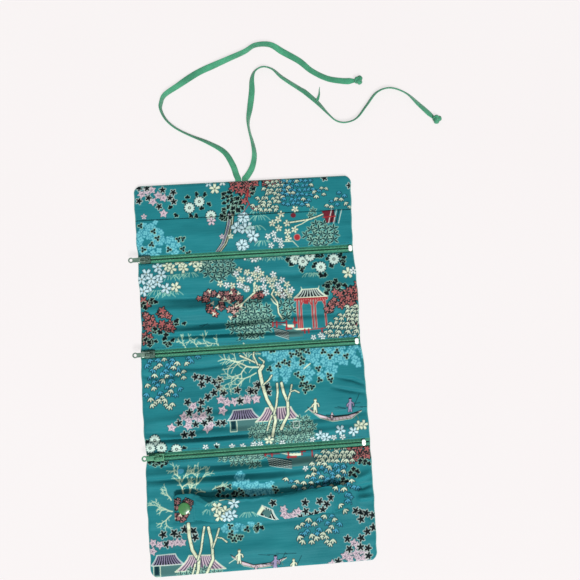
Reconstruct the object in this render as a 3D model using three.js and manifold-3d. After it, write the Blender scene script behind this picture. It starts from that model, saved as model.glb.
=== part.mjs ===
import * as THREE from 'three';
import { mergeVertices } from 'three/addons/utils/BufferGeometryUtils.js';
import Module from 'manifold-3d';

const wasm = await Module();
wasm.setup();

// A brocade jewelry roll, laid open. X runs across it, Y along it towards the tie, Z up from the table.
// All sizes are in millimetres, and distances along the roll count from its tie edge.
const rollWidth = 190;
const rollLength = 330;
const cornerRadius = 7;
const upperLength = 110;
const foldAboveThird = 11.5;
const foldSlit = 0.6;
const clearance = 0.3;

// Cloth layers, from the table up
const coverCloth = 0.7;
const paddingThickness = 1.6;
const liningCloth = 0.4;
const facingThickness = 1.2;
const frontCloth = 0.7;
const liningSetback = 4.2;

// Pocket mouths
const slipMouth = 31;
const zipperPlaces = { first: 65, second: 145.5, third: 231.5 };
const zipperReveal = 3.4;

// Zipper chain: two tapes, each with a coil whose teeth mesh along the middle
const tapeThickness = 0.4;
const tapeReach = 10.5;
const tapeParting = 0.8;
const coilHeight = 1.5;
const coilReach = 2;
const toothPitch = 2.4;
const toothDepth = 0.6;
const meshGap = 0.22;
const topStop = { length: 2, width: 1.6, gap: 0.55 };
const bottomStop = { lobeRadius: 1.7, lobeOffset: 0.95, waistAngle: 0.44, edgeInset: 7.3 };

// Zipper slider and its pull
const sliderInset = { first: 8.4, second: 8.4, third: 12.2 };
const slider = {
  length: 8.6, shoulder: 3.3, tail: 2.9, nose: 1.3, underPlate: 0.6, topPlate: 0.7, flangeStart: -1.8,
};
const wedge = { front: -3.6, back: -0.9, half: 0.5 };
const bridge = { half: 3.2, leg: 0.9, thickness: 0.7, room: 1.3, width: 1.6, round: 1.1 };
const pull = {
  thickness: 0.9, length: 14.2, eyeArm: 1, tab: 3.8, tipRadius: 2.4, holeRadius: 1.35, bar: 0.45, slack: 0.2,
};

// Ring bar: a stuffed tube, sewn down at its right end, with a flat snap tab at its left end
const bar = {
  leftInset: 23, rightInset: 20, belowThird: 41.8, bow: 4, width: 21, height: 8.5,
  tabWidth: 24, tabHeight: 1.6, tabLength: 16, tabRound: 4, swell: 12,
  sewnHeight: 3.2, sewnWidth: 20, sewnTaper: 16, cloth: 0.7, squareness: 0.8,
};
const snap = {
  inset: 8.7, capRadius: 5, capDome: 1.2, rim: 0.4, shankRadius: 1.4, discRadius: 4.5, socketHeight: 1.8,
  cavityRadius: 2.5, knobRadius: 2.1, knobHeight: 1.5, flange: 0.6,
};

// Tie: one narrow tape, folded in half and sewn into the tie edge
const tie = {
  width: 5.4, thickness: 1.4, centre: -1, spacing: 7.4, foldDepth: 6.5, steps: 44, lift: 0.05, rootRise: 1.1,
};
const knot = { length: 8.4, width: 7.6, height: 6, wrapRadius: 1.5, wrapTilt: 0.45 };
const leftRoute = [
  [-5.4, 6], [-8, 15], [-15, 27], [-29, 36], [-44, 43], [-56, 50], [-64, 58], [-68, 67], [-67.5, 73],
  [-64, 80], [-52, 88], [-40, 96], [-31, 101], [-20, 105], [-7, 110], [8, 116], [18, 121.5], [31, 121.5],
  [42, 115], [56.5, 106], [67, 96.5], [80.5, 89], [94.5, 86], [103.5, 85.5],
];
const rightRoute = [
  [4, 4], [9, 12], [11.5, 22], [10.8, 32], [8.2, 45], [7.8, 54], [10, 65], [12.5, 80], [13.3, 91],
  [16.3, 98], [23.5, 101.5], [32, 99], [40.5, 91], [55, 80.5], [60, 77], [70, 67], [78.5, 56.5], [85.5, 49.5],
  [94, 47.5], [104, 51], [113.5, 62], [123.5, 73.5], [136, 77], [150, 71.5], [161, 61], [172.5, 49.5],
];

// Heights that the layers stack up to
const paddingBase = coverCloth + clearance;
const paddingTop = paddingBase + paddingThickness;
const liningBase = paddingTop + clearance;
const liningTop = liningBase + liningCloth;
const underPlateTop = liningBase + slider.underPlate;
const tapeBase = underPlateTop + clearance;
const tapeTop = tapeBase + tapeThickness;
const frontBase = Math.max(tapeTop, liningBase + facingThickness) + clearance;
const frontTop = frontBase + frontCloth;
const coilBase = tapeTop + clearance;
const coilTop = coilBase + coilHeight;
const topPlateBase = coilTop + clearance;
const topPlateTop = topPlateBase + slider.topPlate;
const wallTop = frontBase - clearance;

// Lines that the roll is laid out on
const halfWidth = rollWidth / 2;
const tieEdge = rollLength / 2;
const upperFold = tieEdge - upperLength;
const zipperLine = (which) => tieEdge - zipperPlaces[which];
const lowerFold = zipperLine('third') + foldAboveThird;
const insideWall = coverCloth + clearance;
const coilEnds = {
  left: -halfWidth + sliderInset.first - slider.length / 2,
  right: halfWidth - bottomStop.edgeInset,
};

const panels = {
  upper: { low: upperFold + foldSlit / 2, high: tieEdge, roundHigh: true },
  middle: { low: lowerFold + foldSlit / 2, high: upperFold - foldSlit / 2 },
  lower: { low: -rollLength / 2, high: lowerFold - foldSlit / 2, roundLow: true },
};

const cloth = (color, roughness = 0.6) => new THREE.MeshStandardMaterial({ color, roughness });
const metal = (color, roughness) => new THREE.MeshStandardMaterial({ color, roughness, metalness: 0.7 });
const finishes = {
  brocade: cloth(0x23807f, 0.45),
  padding: cloth(0xe8e6dd, 0.95),
  lining: cloth(0x1f6f70),
  tape: cloth(0x4a8f78, 0.8),
  coil: cloth(0x3f7f68, 0.4),
  paintedMetal: metal(0x6e8c7d, 0.4),
  bareMetal: metal(0xe6e8e6, 0.35),
  snapCap: cloth(0x1f9a4a, 0.25),
  snapMetal: metal(0xb9bcb8, 0.3),
  tie: cloth(0x3ca078, 0.75),
};

function solid(geometry) {
  const bare = geometry.clone();
  bare.deleteAttribute('normal');
  bare.deleteAttribute('uv');
  const merged = mergeVertices(bare, 1e-4);
  return new wasm.Manifold(new wasm.Mesh({
    numProp: 3,
    vertProperties: new Float32Array(merged.attributes.position.array),
    triVerts: new Uint32Array(merged.index.array),
  }));
}

function geometryOf(body) {
  const mesh = body.getMesh();
  const geometry = new THREE.BufferGeometry();
  geometry.setAttribute('position', new THREE.BufferAttribute(mesh.vertProperties, 3));
  geometry.setIndex(new THREE.BufferAttribute(mesh.triVerts, 1));
  return geometry;
}

function join(...geometries) {
  return geometryOf(geometries.map(solid).reduce((sum, piece) => sum.add(piece)));
}

function cut(geometry, ...tools) {
  return geometryOf(tools.map(solid).reduce((rest, tool) => rest.subtract(tool), solid(geometry)));
}

function piece(group, name, geometry, material) {
  const mesh = new THREE.Mesh(geometry, material);
  mesh.name = name;
  group.add(mesh);
}

function slab(shape, base, top, curveSegments = 4) {
  const options = { depth: top - base, bevelEnabled: false, curveSegments };
  return new THREE.ExtrudeGeometry(shape, options).translate(0, 0, base);
}

// A shape drawn in X and Z, given its width along Y about the middle
function upright(shape, width) {
  const options = { depth: width, bevelEnabled: false, curveSegments: 4 };
  return new THREE.ExtrudeGeometry(shape, options).rotateX(Math.PI / 2).translate(0, width / 2, 0);
}

function turned(profile, segments = 24) {
  const points = profile.map(([radius, height]) => new THREE.Vector2(radius, height));
  return new THREE.LatheGeometry(points, segments).rotateX(Math.PI / 2);
}

function rectangle(left, right, low, high) {
  const shape = new THREE.Shape();
  shape.moveTo(left, low);
  shape.lineTo(right, low);
  shape.lineTo(right, high);
  shape.lineTo(left, high);
  return shape;
}

// A strip across the roll, with the roll's round corners where it reaches the tie edge or the far edge
function strip(low, high, inset = 0, roundLow = false, roundHigh = false) {
  const half = halfWidth - inset;
  const radius = Math.max(cornerRadius - inset, clearance);
  if (!roundLow && !roundHigh) return rectangle(-half, half, low, high);
  const shape = new THREE.Shape();
  const corner = (x, y, start) => shape.absarc(x, y, radius, start, start + Math.PI / 2);
  if (roundLow) {
    corner(-half + radius, low + radius, Math.PI);
    corner(half - radius, low + radius, -Math.PI / 2);
  } else {
    shape.moveTo(-half, low);
    shape.lineTo(half, low);
  }
  if (roundHigh) {
    corner(half - radius, high - radius, 0);
    corner(-half + radius, high - radius, Math.PI / 2);
  } else {
    shape.lineTo(half, high);
    shape.lineTo(-half, high);
  }
  return shape;
}

// The space inside a panel's turned-up edges, reaching past its fold sides
function insideOf(panel, inset, reach = 0) {
  const low = panel.roundLow ? panel.low + inset : panel.low - reach;
  const high = panel.roundHigh ? panel.high - inset : panel.high + reach;
  return strip(low, high, inset, panel.roundLow, panel.roundHigh);
}

const tieMouth = {
  left: tie.centre - (tie.spacing + tie.width) / 2 - clearance,
  right: tie.centre + (tie.spacing + tie.width) / 2 + clearance,
};
const facingEnd = zipperLine('first') + tapeReach + clearance;

// The outer brocade, turned up at the edges to the seam, which steps down under the flap's facing
function coverOf(panel) {
  const tray = slab(strip(panel.low, panel.high, 0, panel.roundLow, panel.roundHigh), 0, wallTop);
  const cuts = [slab(insideOf(panel, coverCloth, coverCloth), coverCloth, wallTop + coverCloth)];
  if (panel.roundHigh) {
    const beyond = halfWidth + cornerRadius;
    const step = rectangle(-beyond, beyond, facingEnd - clearance, panel.high + cornerRadius);
    cuts.push(slab(step, paddingTop, wallTop + coverCloth));
    const slotEnds = [panel.high - cornerRadius, panel.high + cornerRadius];
    const slot = rectangle(tieMouth.left, tieMouth.right, ...slotEnds);
    cuts.push(slab(slot, coverCloth, paddingTop + coverCloth));
  }
  return cut(tray, ...cuts);
}

function paddingOf(panel) {
  const pad = slab(insideOf(panel, insideWall), paddingBase, paddingTop);
  if (!panel.roundHigh) return pad;
  const notchLow = panel.high - insideWall - tie.foldDepth - clearance;
  const notch = rectangle(tieMouth.left, tieMouth.right, notchLow, panel.high);
  return cut(pad, slab(notch, 0, paddingTop + paddingThickness));
}

function addPanel(group, name) {
  piece(group, `${name}_cover`, coverOf(panels[name]), finishes.brocade);
  piece(group, `${name}_padding`, paddingOf(panels[name]), finishes.padding);
}

function front(low, high, roundLow = false) {
  return slab(strip(low, high, 0, roundLow), frontBase, frontTop);
}

function lining(low, high, roundLow = false) {
  const edge = roundLow ? low + insideWall : low;
  return slab(strip(edge, high, insideWall, roundLow), liningBase, liningTop);
}

// A drill for the snap's shank, through every layer that it passes
function shankHole() {
  const radius = snap.shankRadius + clearance;
  const top = tabBase + bar.height;
  return turned([[0, 0], [radius, 0], [radius, top], [0, top]]).translate(snapX, snapY, 0);
}

function addPockets(groups) {
  const { upper, middle, lower } = panels;
  const [first, second, third] = ['first', 'second', 'third'].map(zipperLine);
  const facingShape = strip(facingEnd, upper.high, 0, false, true);
  const facing = slab(facingShape, liningBase, liningBase + facingThickness);
  piece(groups.upper, 'flap_facing', facing, finishes.brocade);
  piece(groups.upper, 'slip_pocket', front(first + zipperReveal, tieEdge - slipMouth), finishes.brocade);
  piece(groups.upper, 'first_pocket_upper', front(upper.low, first - zipperReveal), finishes.brocade);
  piece(groups.upper, 'first_lining_upper', lining(upper.low, first - liningSetback), finishes.lining);
  piece(groups.middle, 'first_pocket_lower', front(second + zipperReveal, middle.high), finishes.brocade);
  piece(groups.middle, 'first_lining_lower', lining(second + liningSetback, middle.high), finishes.lining);
  piece(groups.middle, 'second_pocket', front(middle.low, second - zipperReveal), finishes.brocade);
  piece(groups.middle, 'second_lining', lining(middle.low, second - liningSetback), finishes.lining);
  piece(groups.lower, 'second_pocket_hem', front(third + zipperReveal, lower.high), finishes.brocade);
  const thirdFront = cut(front(lower.low, third - zipperReveal, true), shankHole());
  piece(groups.lower, 'third_pocket', thirdFront, finishes.brocade);
  piece(groups.lower, 'third_lining', lining(lower.low, third - liningSetback, true), finishes.lining);
}

// One coil: a straight spine with teeth along the meshing line, which the other side's coil follows too
function coil(side, teethFrom) {
  const { left, right } = coilEnds;
  const shape = new THREE.Shape();
  shape.moveTo(left, side * coilReach);
  shape.lineTo(left, side * (toothDepth + meshGap));
  shape.lineTo(teethFrom, side * (toothDepth + meshGap));
  const count = Math.floor((right - teethFrom) / (toothPitch / 2));
  for (let i = 1; i <= count; i += 1) {
    const swing = i % 2 ? toothDepth : -toothDepth;
    shape.lineTo(teethFrom + (i * toothPitch) / 2, swing + side * meshGap);
  }
  shape.lineTo(right, side * (toothDepth + meshGap));
  shape.lineTo(right, side * coilReach);
  return slab(shape, coilBase, coilTop);
}

function sliderOutline() {
  const end = slider.length / 2;
  const shape = new THREE.Shape();
  shape.moveTo(end, -slider.tail);
  shape.lineTo(end, slider.tail);
  shape.lineTo(slider.flangeStart, slider.shoulder);
  shape.quadraticCurveTo(-end, slider.shoulder, -end, slider.nose);
  shape.lineTo(-end, -slider.nose);
  shape.quadraticCurveTo(-end, -slider.shoulder, slider.flangeStart, -slider.shoulder);
  return shape;
}

function bridgeProfile() {
  const base = topPlateTop - slider.topPlate / 2;
  const ceiling = topPlateTop + bridge.room;
  const top = ceiling + bridge.thickness;
  const inner = bridge.half - bridge.leg;
  const innerRound = bridge.round / 2;
  const shape = new THREE.Shape();
  shape.moveTo(bridge.half, base);
  shape.lineTo(bridge.half, top - bridge.round);
  shape.quadraticCurveTo(bridge.half, top, bridge.half - bridge.round, top);
  shape.lineTo(-bridge.half + bridge.round, top);
  shape.quadraticCurveTo(-bridge.half, top, -bridge.half, top - bridge.round);
  shape.lineTo(-bridge.half, base);
  shape.lineTo(-inner, base);
  shape.lineTo(-inner, ceiling - innerRound);
  shape.quadraticCurveTo(-inner, ceiling, -inner + innerRound, ceiling);
  shape.lineTo(inner - innerRound, ceiling);
  shape.quadraticCurveTo(inner, ceiling, inner, ceiling - innerRound);
  shape.lineTo(inner, base);
  return shape;
}

// Two plates held apart by a wedge that parts the coils, with flanges that press them together behind it
function sliderBody() {
  const plateLap = slider.topPlate / 2;
  const outline = sliderOutline();
  const under = slab(outline, liningBase, underPlateTop, 3);
  const over = slab(outline, topPlateBase, topPlateTop, 3);
  const wedgeShape = new THREE.Shape();
  const widest = (wedge.front * 2 + wedge.back) / 3;
  wedgeShape.moveTo(wedge.front, 0);
  wedgeShape.lineTo(widest, -wedge.half);
  wedgeShape.lineTo(wedge.back, 0);
  wedgeShape.lineTo(widest, wedge.half);
  const post = slab(wedgeShape, underPlateTop - plateLap, topPlateBase + plateLap);
  const channel = coilReach + clearance;
  const run = slider.length;
  const flanges = cut(
    slab(outline, coilBase, topPlateBase + plateLap, 3),
    slab(rectangle(-run, run, -channel, channel), coilBase - clearance, topPlateTop),
    slab(rectangle(-run, slider.flangeStart, -run, run), coilBase - clearance, topPlateTop),
  );
  const arch = upright(bridgeProfile(), bridge.width);
  return join(under, over, post, flanges, arch);
}

const pullHeight = topPlateTop + pull.slack + pull.thickness / 2;

// A flat tab with a ring hole at its tip and an eye round the slider's bridge, hung on the bar across the eye
function pullBody() {
  const eyeHalf = bridge.width / 2 + clearance;
  const rootHalf = eyeHalf + pull.eyeArm;
  const eyeLength = bridge.half + 2 * clearance;
  const tip = -pull.length + pull.tipRadius;
  const neck = Math.asin(pull.tab / 2 / pull.tipRadius);
  const shape = new THREE.Shape();
  shape.moveTo(0, rootHalf);
  shape.lineTo(-eyeLength, rootHalf);
  shape.quadraticCurveTo(-eyeLength - rootHalf, pull.tab / 2, tip + pull.tipRadius, pull.tab / 2);
  shape.absarc(tip, 0, pull.tipRadius, neck, 2 * Math.PI - neck);
  shape.lineTo(tip + pull.tipRadius, -pull.tab / 2);
  shape.quadraticCurveTo(-eyeLength - rootHalf, -pull.tab / 2, -eyeLength, -rootHalf);
  shape.lineTo(0, -rootHalf);
  const eye = rectangle(-eyeLength, -pull.bar, -eyeHalf, eyeHalf);
  const hole = new THREE.Path();
  hole.absarc(tip, 0, pull.holeRadius, 0, 2 * Math.PI);
  shape.holes.push(eye, hole);
  const tab = slab(shape, pullHeight - pull.thickness / 2, pullHeight + pull.thickness / 2, 5);
  const pivot = new THREE.CylinderGeometry(pull.bar, pull.bar, 2 * rootHalf, 10).translate(0, 0, pullHeight);
  return join(tab, pivot);
}

function bottomStopBody() {
  const { lobeRadius, lobeOffset, waistAngle } = bottomStop;
  const shape = new THREE.Shape();
  shape.absarc(0, lobeOffset, lobeRadius, -waistAngle, Math.PI + waistAngle);
  shape.absarc(0, -lobeOffset, lobeRadius, Math.PI - waistAngle, 2 * Math.PI + waistAngle);
  return slab(shape, coilBase, coilTop, 6);
}

function topStopBody(side) {
  const right = coilEnds.left - topStop.gap;
  const inner = side * tapeParting;
  const outer = side * (tapeParting + topStop.width);
  const outline = rectangle(right - topStop.length, right, Math.min(inner, outer), Math.max(inner, outer));
  return slab(outline, coilBase, coilTop);
}

function addZipper(panelGroup, which) {
  const group = new THREE.Group();
  group.position.y = zipperLine(which);
  panelGroup.add(group);
  const sliderX = -halfWidth + sliderInset[which];
  const teethFrom = sliderX + wedge.back + clearance;
  const tapeHalf = halfWidth - insideWall;
  const node = (part) => `${which}_zip_${part}`;
  for (const [name, side] of [['upper', 1], ['lower', -1]]) {
    const edges = [side * tapeParting, side * tapeReach];
    const tape = rectangle(-tapeHalf, tapeHalf, Math.min(...edges), Math.max(...edges));
    piece(group, node(`tape_${name}`), slab(tape, tapeBase, tapeTop), finishes.tape);
    piece(group, node(`coil_${name}`), coil(side, teethFrom), finishes.coil);
    piece(group, node(`top_stop_${name}`), topStopBody(side), finishes.bareMetal);
  }
  const stopX = coilEnds.right + clearance + bottomStop.lobeRadius;
  piece(group, node('bottom_stop'), bottomStopBody().translate(stopX, 0, 0), finishes.bareMetal);
  piece(group, node('slider'), sliderBody().translate(sliderX, 0, 0), finishes.paintedMetal);
  piece(group, node('pull'), pullBody().translate(sliderX, 0, 0), finishes.paintedMetal);
}

// Rings of points joined into one closed skin, with a flat cap at each end
function loft(rings) {
  const count = rings[0].length;
  const positions = rings.flat().flatMap((point) => point.toArray());
  const index = [];
  for (let r = 0; r + 1 < rings.length; r += 1) {
    for (let i = 0; i < count; i += 1) {
      const a = r * count + i;
      const b = r * count + ((i + 1) % count);
      index.push(a, b, b + count, a, b + count, a + count);
    }
  }
  const last = (rings.length - 1) * count;
  for (let i = 1; i + 1 < count; i += 1) {
    index.push(0, i + 1, i);
    index.push(last, last + i, last + i + 1);
  }
  const geometry = new THREE.BufferGeometry();
  geometry.setAttribute('position', new THREE.Float32BufferAttribute(positions, 3));
  geometry.setIndex(index);
  return geometry;
}

const barLeft = -halfWidth + bar.leftInset;
const barRight = halfWidth - bar.rightInset;
const barFilled = barLeft + bar.tabLength + bar.swell / 2;
const barBase = frontTop + clearance;
const barY = zipperLine('third') - bar.belowThird;
const snapX = barLeft + snap.inset;
const socketTop = frontTop + 2 * clearance + snap.flange + clearance + snap.socketHeight;
const tabBase = socketTop + clearance;
const snapY = barY;

// The bar's section at x: its middle line bows towards the far edge, and both ends flatten
function barSection(x) {
  const ease = (t) => THREE.MathUtils.smoothstep(t, 0, 1);
  const filled = ease((x - barLeft - bar.tabLength) / bar.swell);
  const sewn = ease((x - barRight + bar.sewnTaper) / bar.sewnTaper);
  const along = (2 * (x - barLeft)) / (barRight - barLeft) - 1;
  const short = Math.max(bar.tabRound - (x - barLeft), 0);
  const rounding = bar.tabRound - Math.sqrt(bar.tabRound ** 2 - short ** 2);
  const mix = THREE.MathUtils.lerp;
  return {
    y: barY - bar.bow * filled * (1 - along * along),
    base: mix(tabBase, barBase, filled),
    height: mix(mix(bar.tabHeight, bar.height, filled), bar.sewnHeight, sewn),
    width: mix(mix(bar.tabWidth, bar.width, filled), bar.sewnWidth, sewn) - 2 * rounding,
  };
}

// Places along the bar where its section is drawn, closer together where it changes fast
function barStations() {
  const stretches = [
    [barLeft + bar.tabRound / 8, barLeft + bar.tabRound, 3],
    [barLeft + bar.tabRound, barLeft + bar.tabLength, 1],
    [barLeft + bar.tabLength, barFilled, 2],
    [barFilled, barLeft + bar.tabLength + bar.swell, 2],
    [barLeft + bar.tabLength + bar.swell, barRight - bar.sewnTaper, 6],
    [barRight - bar.sewnTaper, barRight, 4],
  ];
  const places = stretches.flatMap(([from, to, count]) => (
    Array.from({ length: count }, (_, i) => from + ((to - from) * i) / count)));
  return [...places, barRight];
}

function barRing(x, section, inset, sides = 16) {
  const halfHeight = section.height / 2 - inset;
  const halfSpan = section.width / 2 - inset;
  const flatten = (value) => Math.sign(value) * Math.abs(value) ** bar.squareness;
  return Array.from({ length: sides }, (_, i) => {
    const turn = (2 * Math.PI * i) / sides;
    const y = section.y + halfSpan * flatten(Math.cos(turn));
    const z = section.base + section.height / 2 + halfHeight * flatten(Math.sin(turn));
    return new THREE.Vector3(x, y, z);
  });
}

// The bar's form between two of its stations, drawn in by inset, with its last section carried on to end
function barLoft(from, inset, end) {
  const places = barStations().filter((x) => x >= from && x < end);
  const rings = places.map((x) => barRing(x, barSection(x), inset));
  rings.push(barRing(end, barSection(Math.min(end, barRight)), inset));
  return loft(rings);
}

function addRingBar(group) {
  const hollow = barLoft(barFilled, bar.cloth, barRight + bar.cloth);
  const skin = cut(barLoft(barLeft, 0, barRight), hollow, shankHole());
  const stuffing = barLoft(barFilled + clearance, bar.cloth + clearance, barRight - clearance);
  piece(group, 'ring_bar_cover', skin, finishes.brocade);
  piece(group, 'ring_bar_stuffing', stuffing, finishes.padding);
}

// A rim at base height and a low dome over it, as a profile that ends on the axis
function dome(radius, base, steps = 6) {
  const profile = [[radius, base]];
  for (let i = 0; i < steps; i += 1) {
    const rise = (Math.PI / 2) * (i / steps);
    profile.push([radius * Math.cos(rise), base + snap.rim + (snap.capDome - snap.rim) * Math.sin(rise)]);
  }
  profile.push([0, base + snap.capDome]);
  return profile;
}

// Snap, from the lining up: post, stud, socket and cap; the last two ride on the bar's tab
function addSnap(lowerGroup, barGroup) {
  const { capRadius, shankRadius, discRadius, cavityRadius, knobRadius } = snap;
  const place = (profile) => turned(profile).translate(snapX, snapY, 0);
  const postBase = liningTop + clearance;
  const studBase = frontTop + clearance;
  const knobBase = studBase + snap.flange;
  const socketBase = socketTop - snap.socketHeight;
  const capBase = tabBase + bar.tabHeight + clearance;
  const post = place([[0, postBase], [discRadius, postBase], [discRadius, frontBase - clearance],
    [shankRadius, frontBase - clearance], [shankRadius, frontTop], [0, frontTop]]);
  const knobTop = knobBase + snap.knobHeight;
  const stud = place([[0, studBase], [discRadius - snap.rim, studBase],
    [discRadius, studBase + snap.flange / 2], [discRadius - snap.rim, knobBase],
    [knobRadius - snap.rim, knobBase], [knobRadius, (knobBase + knobTop) / 2],
    [knobRadius - snap.rim, knobTop], [0, knobTop]]);
  const cavityTop = knobTop + clearance;
  const socket = place([[0, cavityTop], [cavityRadius, cavityTop], [cavityRadius, socketBase],
    [discRadius - snap.rim, socketBase], [discRadius, socketBase + snap.rim], [discRadius, socketTop],
    [0, socketTop]]);
  const cap = place([[0, tabBase], [shankRadius, tabBase], [shankRadius, capBase],
    ...dome(capRadius, capBase)]);
  piece(lowerGroup, 'snap_post', post, finishes.snapMetal);
  piece(lowerGroup, 'snap_stud', stud, finishes.snapMetal);
  piece(barGroup, 'snap_socket', socket, finishes.snapMetal);
  piece(barGroup, 'snap_cap', cap, finishes.snapCap);
}

// An oval tape section, its thickness drawn along X so that the tape lies flat along its route
function tapeSection() {
  const shape = new THREE.Shape();
  shape.absellipse(0, 0, tie.thickness / 2, tie.width / 2, 0, 2 * Math.PI);
  return new THREE.Shape(shape.getPoints(5));
}

function strand(route, rootX) {
  const lying = tie.thickness / 2 + tie.lift;
  const root = tieEdge - insideWall + clearance;
  const points = [new THREE.Vector3(rootX, root, lying + tie.rootRise)];
  points.push(new THREE.Vector3(rootX, root + tie.width / 2, lying + tie.rootRise));
  route.forEach(([x, y], i) => {
    const drop = i === 0 ? tie.rootRise / 2 : 0;
    points.push(new THREE.Vector3(x, tieEdge + y, lying + drop));
  });
  const path = new THREE.CatmullRomCurve3(points, false, 'centripetal');
  const options = { steps: tie.steps, bevelEnabled: false, extrudePath: path };
  return new THREE.ExtrudeGeometry(tapeSection(), options);
}

// An overhand knot pulled tight: a plump core with one turn of the tape wrapped over it
function knotBody(route) {
  const [[x0, y0], [x1, y1]] = route.slice(-2);
  const heading = Math.atan2(y1 - y0, x1 - x0);
  const core = new THREE.SphereGeometry(0.5, 14, 9).scale(knot.length, knot.width, knot.height);
  const ring = new THREE.TorusGeometry(knot.width / 2 - knot.wrapRadius, knot.wrapRadius, 8, 14);
  const squeeze = (knot.height / 2) / (knot.width / 2);
  const wrap = ring.rotateY(Math.PI / 2).scale(1, 1, squeeze).rotateZ(knot.wrapTilt);
  const reach = knot.length / 2 + clearance;
  const place = [x1 + reach * Math.cos(heading), tieEdge + y1 + reach * Math.sin(heading), knot.height / 2];
  return join(core, wrap).rotateZ(heading).translate(...place);
}

function addTie(group) {
  const half = tie.spacing / 2;
  const foldTop = tieEdge - insideWall;
  const [foldLeft, foldRight] = [tieMouth.left + clearance, tieMouth.right - clearance];
  const fold = rectangle(foldLeft, foldRight, foldTop - tie.foldDepth, foldTop);
  const lying = tie.lift + tie.rootRise;
  piece(group, 'tie_fold', slab(fold, lying, lying + tie.thickness), finishes.tie);
  piece(group, 'tie_strand_left', strand(leftRoute, tie.centre - half), finishes.tie);
  piece(group, 'tie_strand_right', strand(rightRoute, tie.centre + half), finishes.tie);
  piece(group, 'tie_knot_left', knotBody(leftRoute), finishes.tie);
  piece(group, 'tie_knot_right', knotBody(rightRoute), finishes.tie);
}

function jewelryRoll() {
  const roll = new THREE.Group();
  const groups = { upper: new THREE.Group(), middle: new THREE.Group(), lower: new THREE.Group() };
  const ringBar = new THREE.Group();
  groups.lower.add(ringBar);
  for (const name of Object.keys(groups)) {
    addPanel(groups[name], name);
    roll.add(groups[name]);
  }
  addPockets(groups);
  addZipper(groups.upper, 'first');
  addZipper(groups.middle, 'second');
  addZipper(groups.lower, 'third');
  addRingBar(ringBar);
  addSnap(groups.lower, ringBar);
  addTie(groups.upper);
  return roll;
}

export default jewelryRoll();
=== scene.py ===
import math
import random
from contextlib import contextmanager
import bmesh
import bpy
import numpy as np
from mathutils import Matrix, Vector


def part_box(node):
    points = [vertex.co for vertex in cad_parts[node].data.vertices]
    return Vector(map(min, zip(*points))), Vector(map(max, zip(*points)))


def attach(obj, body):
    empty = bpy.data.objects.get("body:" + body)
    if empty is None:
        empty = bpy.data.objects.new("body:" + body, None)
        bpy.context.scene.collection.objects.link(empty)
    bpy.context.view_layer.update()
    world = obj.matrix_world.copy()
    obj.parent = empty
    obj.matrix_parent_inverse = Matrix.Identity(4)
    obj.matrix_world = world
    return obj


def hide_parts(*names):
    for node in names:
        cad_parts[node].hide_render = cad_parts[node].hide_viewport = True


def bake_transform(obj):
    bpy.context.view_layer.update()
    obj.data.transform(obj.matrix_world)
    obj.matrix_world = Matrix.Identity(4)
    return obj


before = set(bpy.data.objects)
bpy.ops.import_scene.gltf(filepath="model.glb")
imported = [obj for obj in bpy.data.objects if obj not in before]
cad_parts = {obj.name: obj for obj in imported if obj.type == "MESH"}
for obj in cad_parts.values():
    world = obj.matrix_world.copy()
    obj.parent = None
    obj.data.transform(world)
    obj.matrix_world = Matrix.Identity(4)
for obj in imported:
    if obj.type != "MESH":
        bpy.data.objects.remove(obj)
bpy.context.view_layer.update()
scene = bpy.context.scene
scene.view_settings.view_transform = "Standard"
mm = 0.001
print("frame loaded:", len(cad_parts), "nodes")

# the photograph's camera, found from the roll's four corners
view = {"place": (18.4, 40.7, 451.9), "turn": (3.47, -1.94, -3.59), "lens": 32.28}

lens = bpy.data.cameras.new("camera")
lens.lens = view["lens"]
lens.clip_start = 0.01
camera = bpy.data.objects.new("camera", lens)
camera.location = Vector(view["place"]) * mm
camera.rotation_euler = [math.radians(a) for a in view["turn"]]
scene.collection.objects.link(camera)
scene.camera = camera


class Value:  # a socket that shader sums can be written with
    def __init__(self, finish, socket):
        self.finish, self.socket = finish, socket

    def maths(self, operation, first, second):
        return self.finish.node("ShaderNodeMath", {"operation": operation}, {0: first, 1: second})

    def __add__(self, other):
        return self.maths("ADD", self, other)

    def __radd__(self, other):
        return self.maths("ADD", other, self)

    def __sub__(self, other):
        return self.maths("SUBTRACT", self, other)

    def __rsub__(self, other):
        return self.maths("SUBTRACT", other, self)

    def __mul__(self, other):
        return self.maths("MULTIPLY", self, other)

    def __rmul__(self, other):
        return self.maths("MULTIPLY", other, self)


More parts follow.
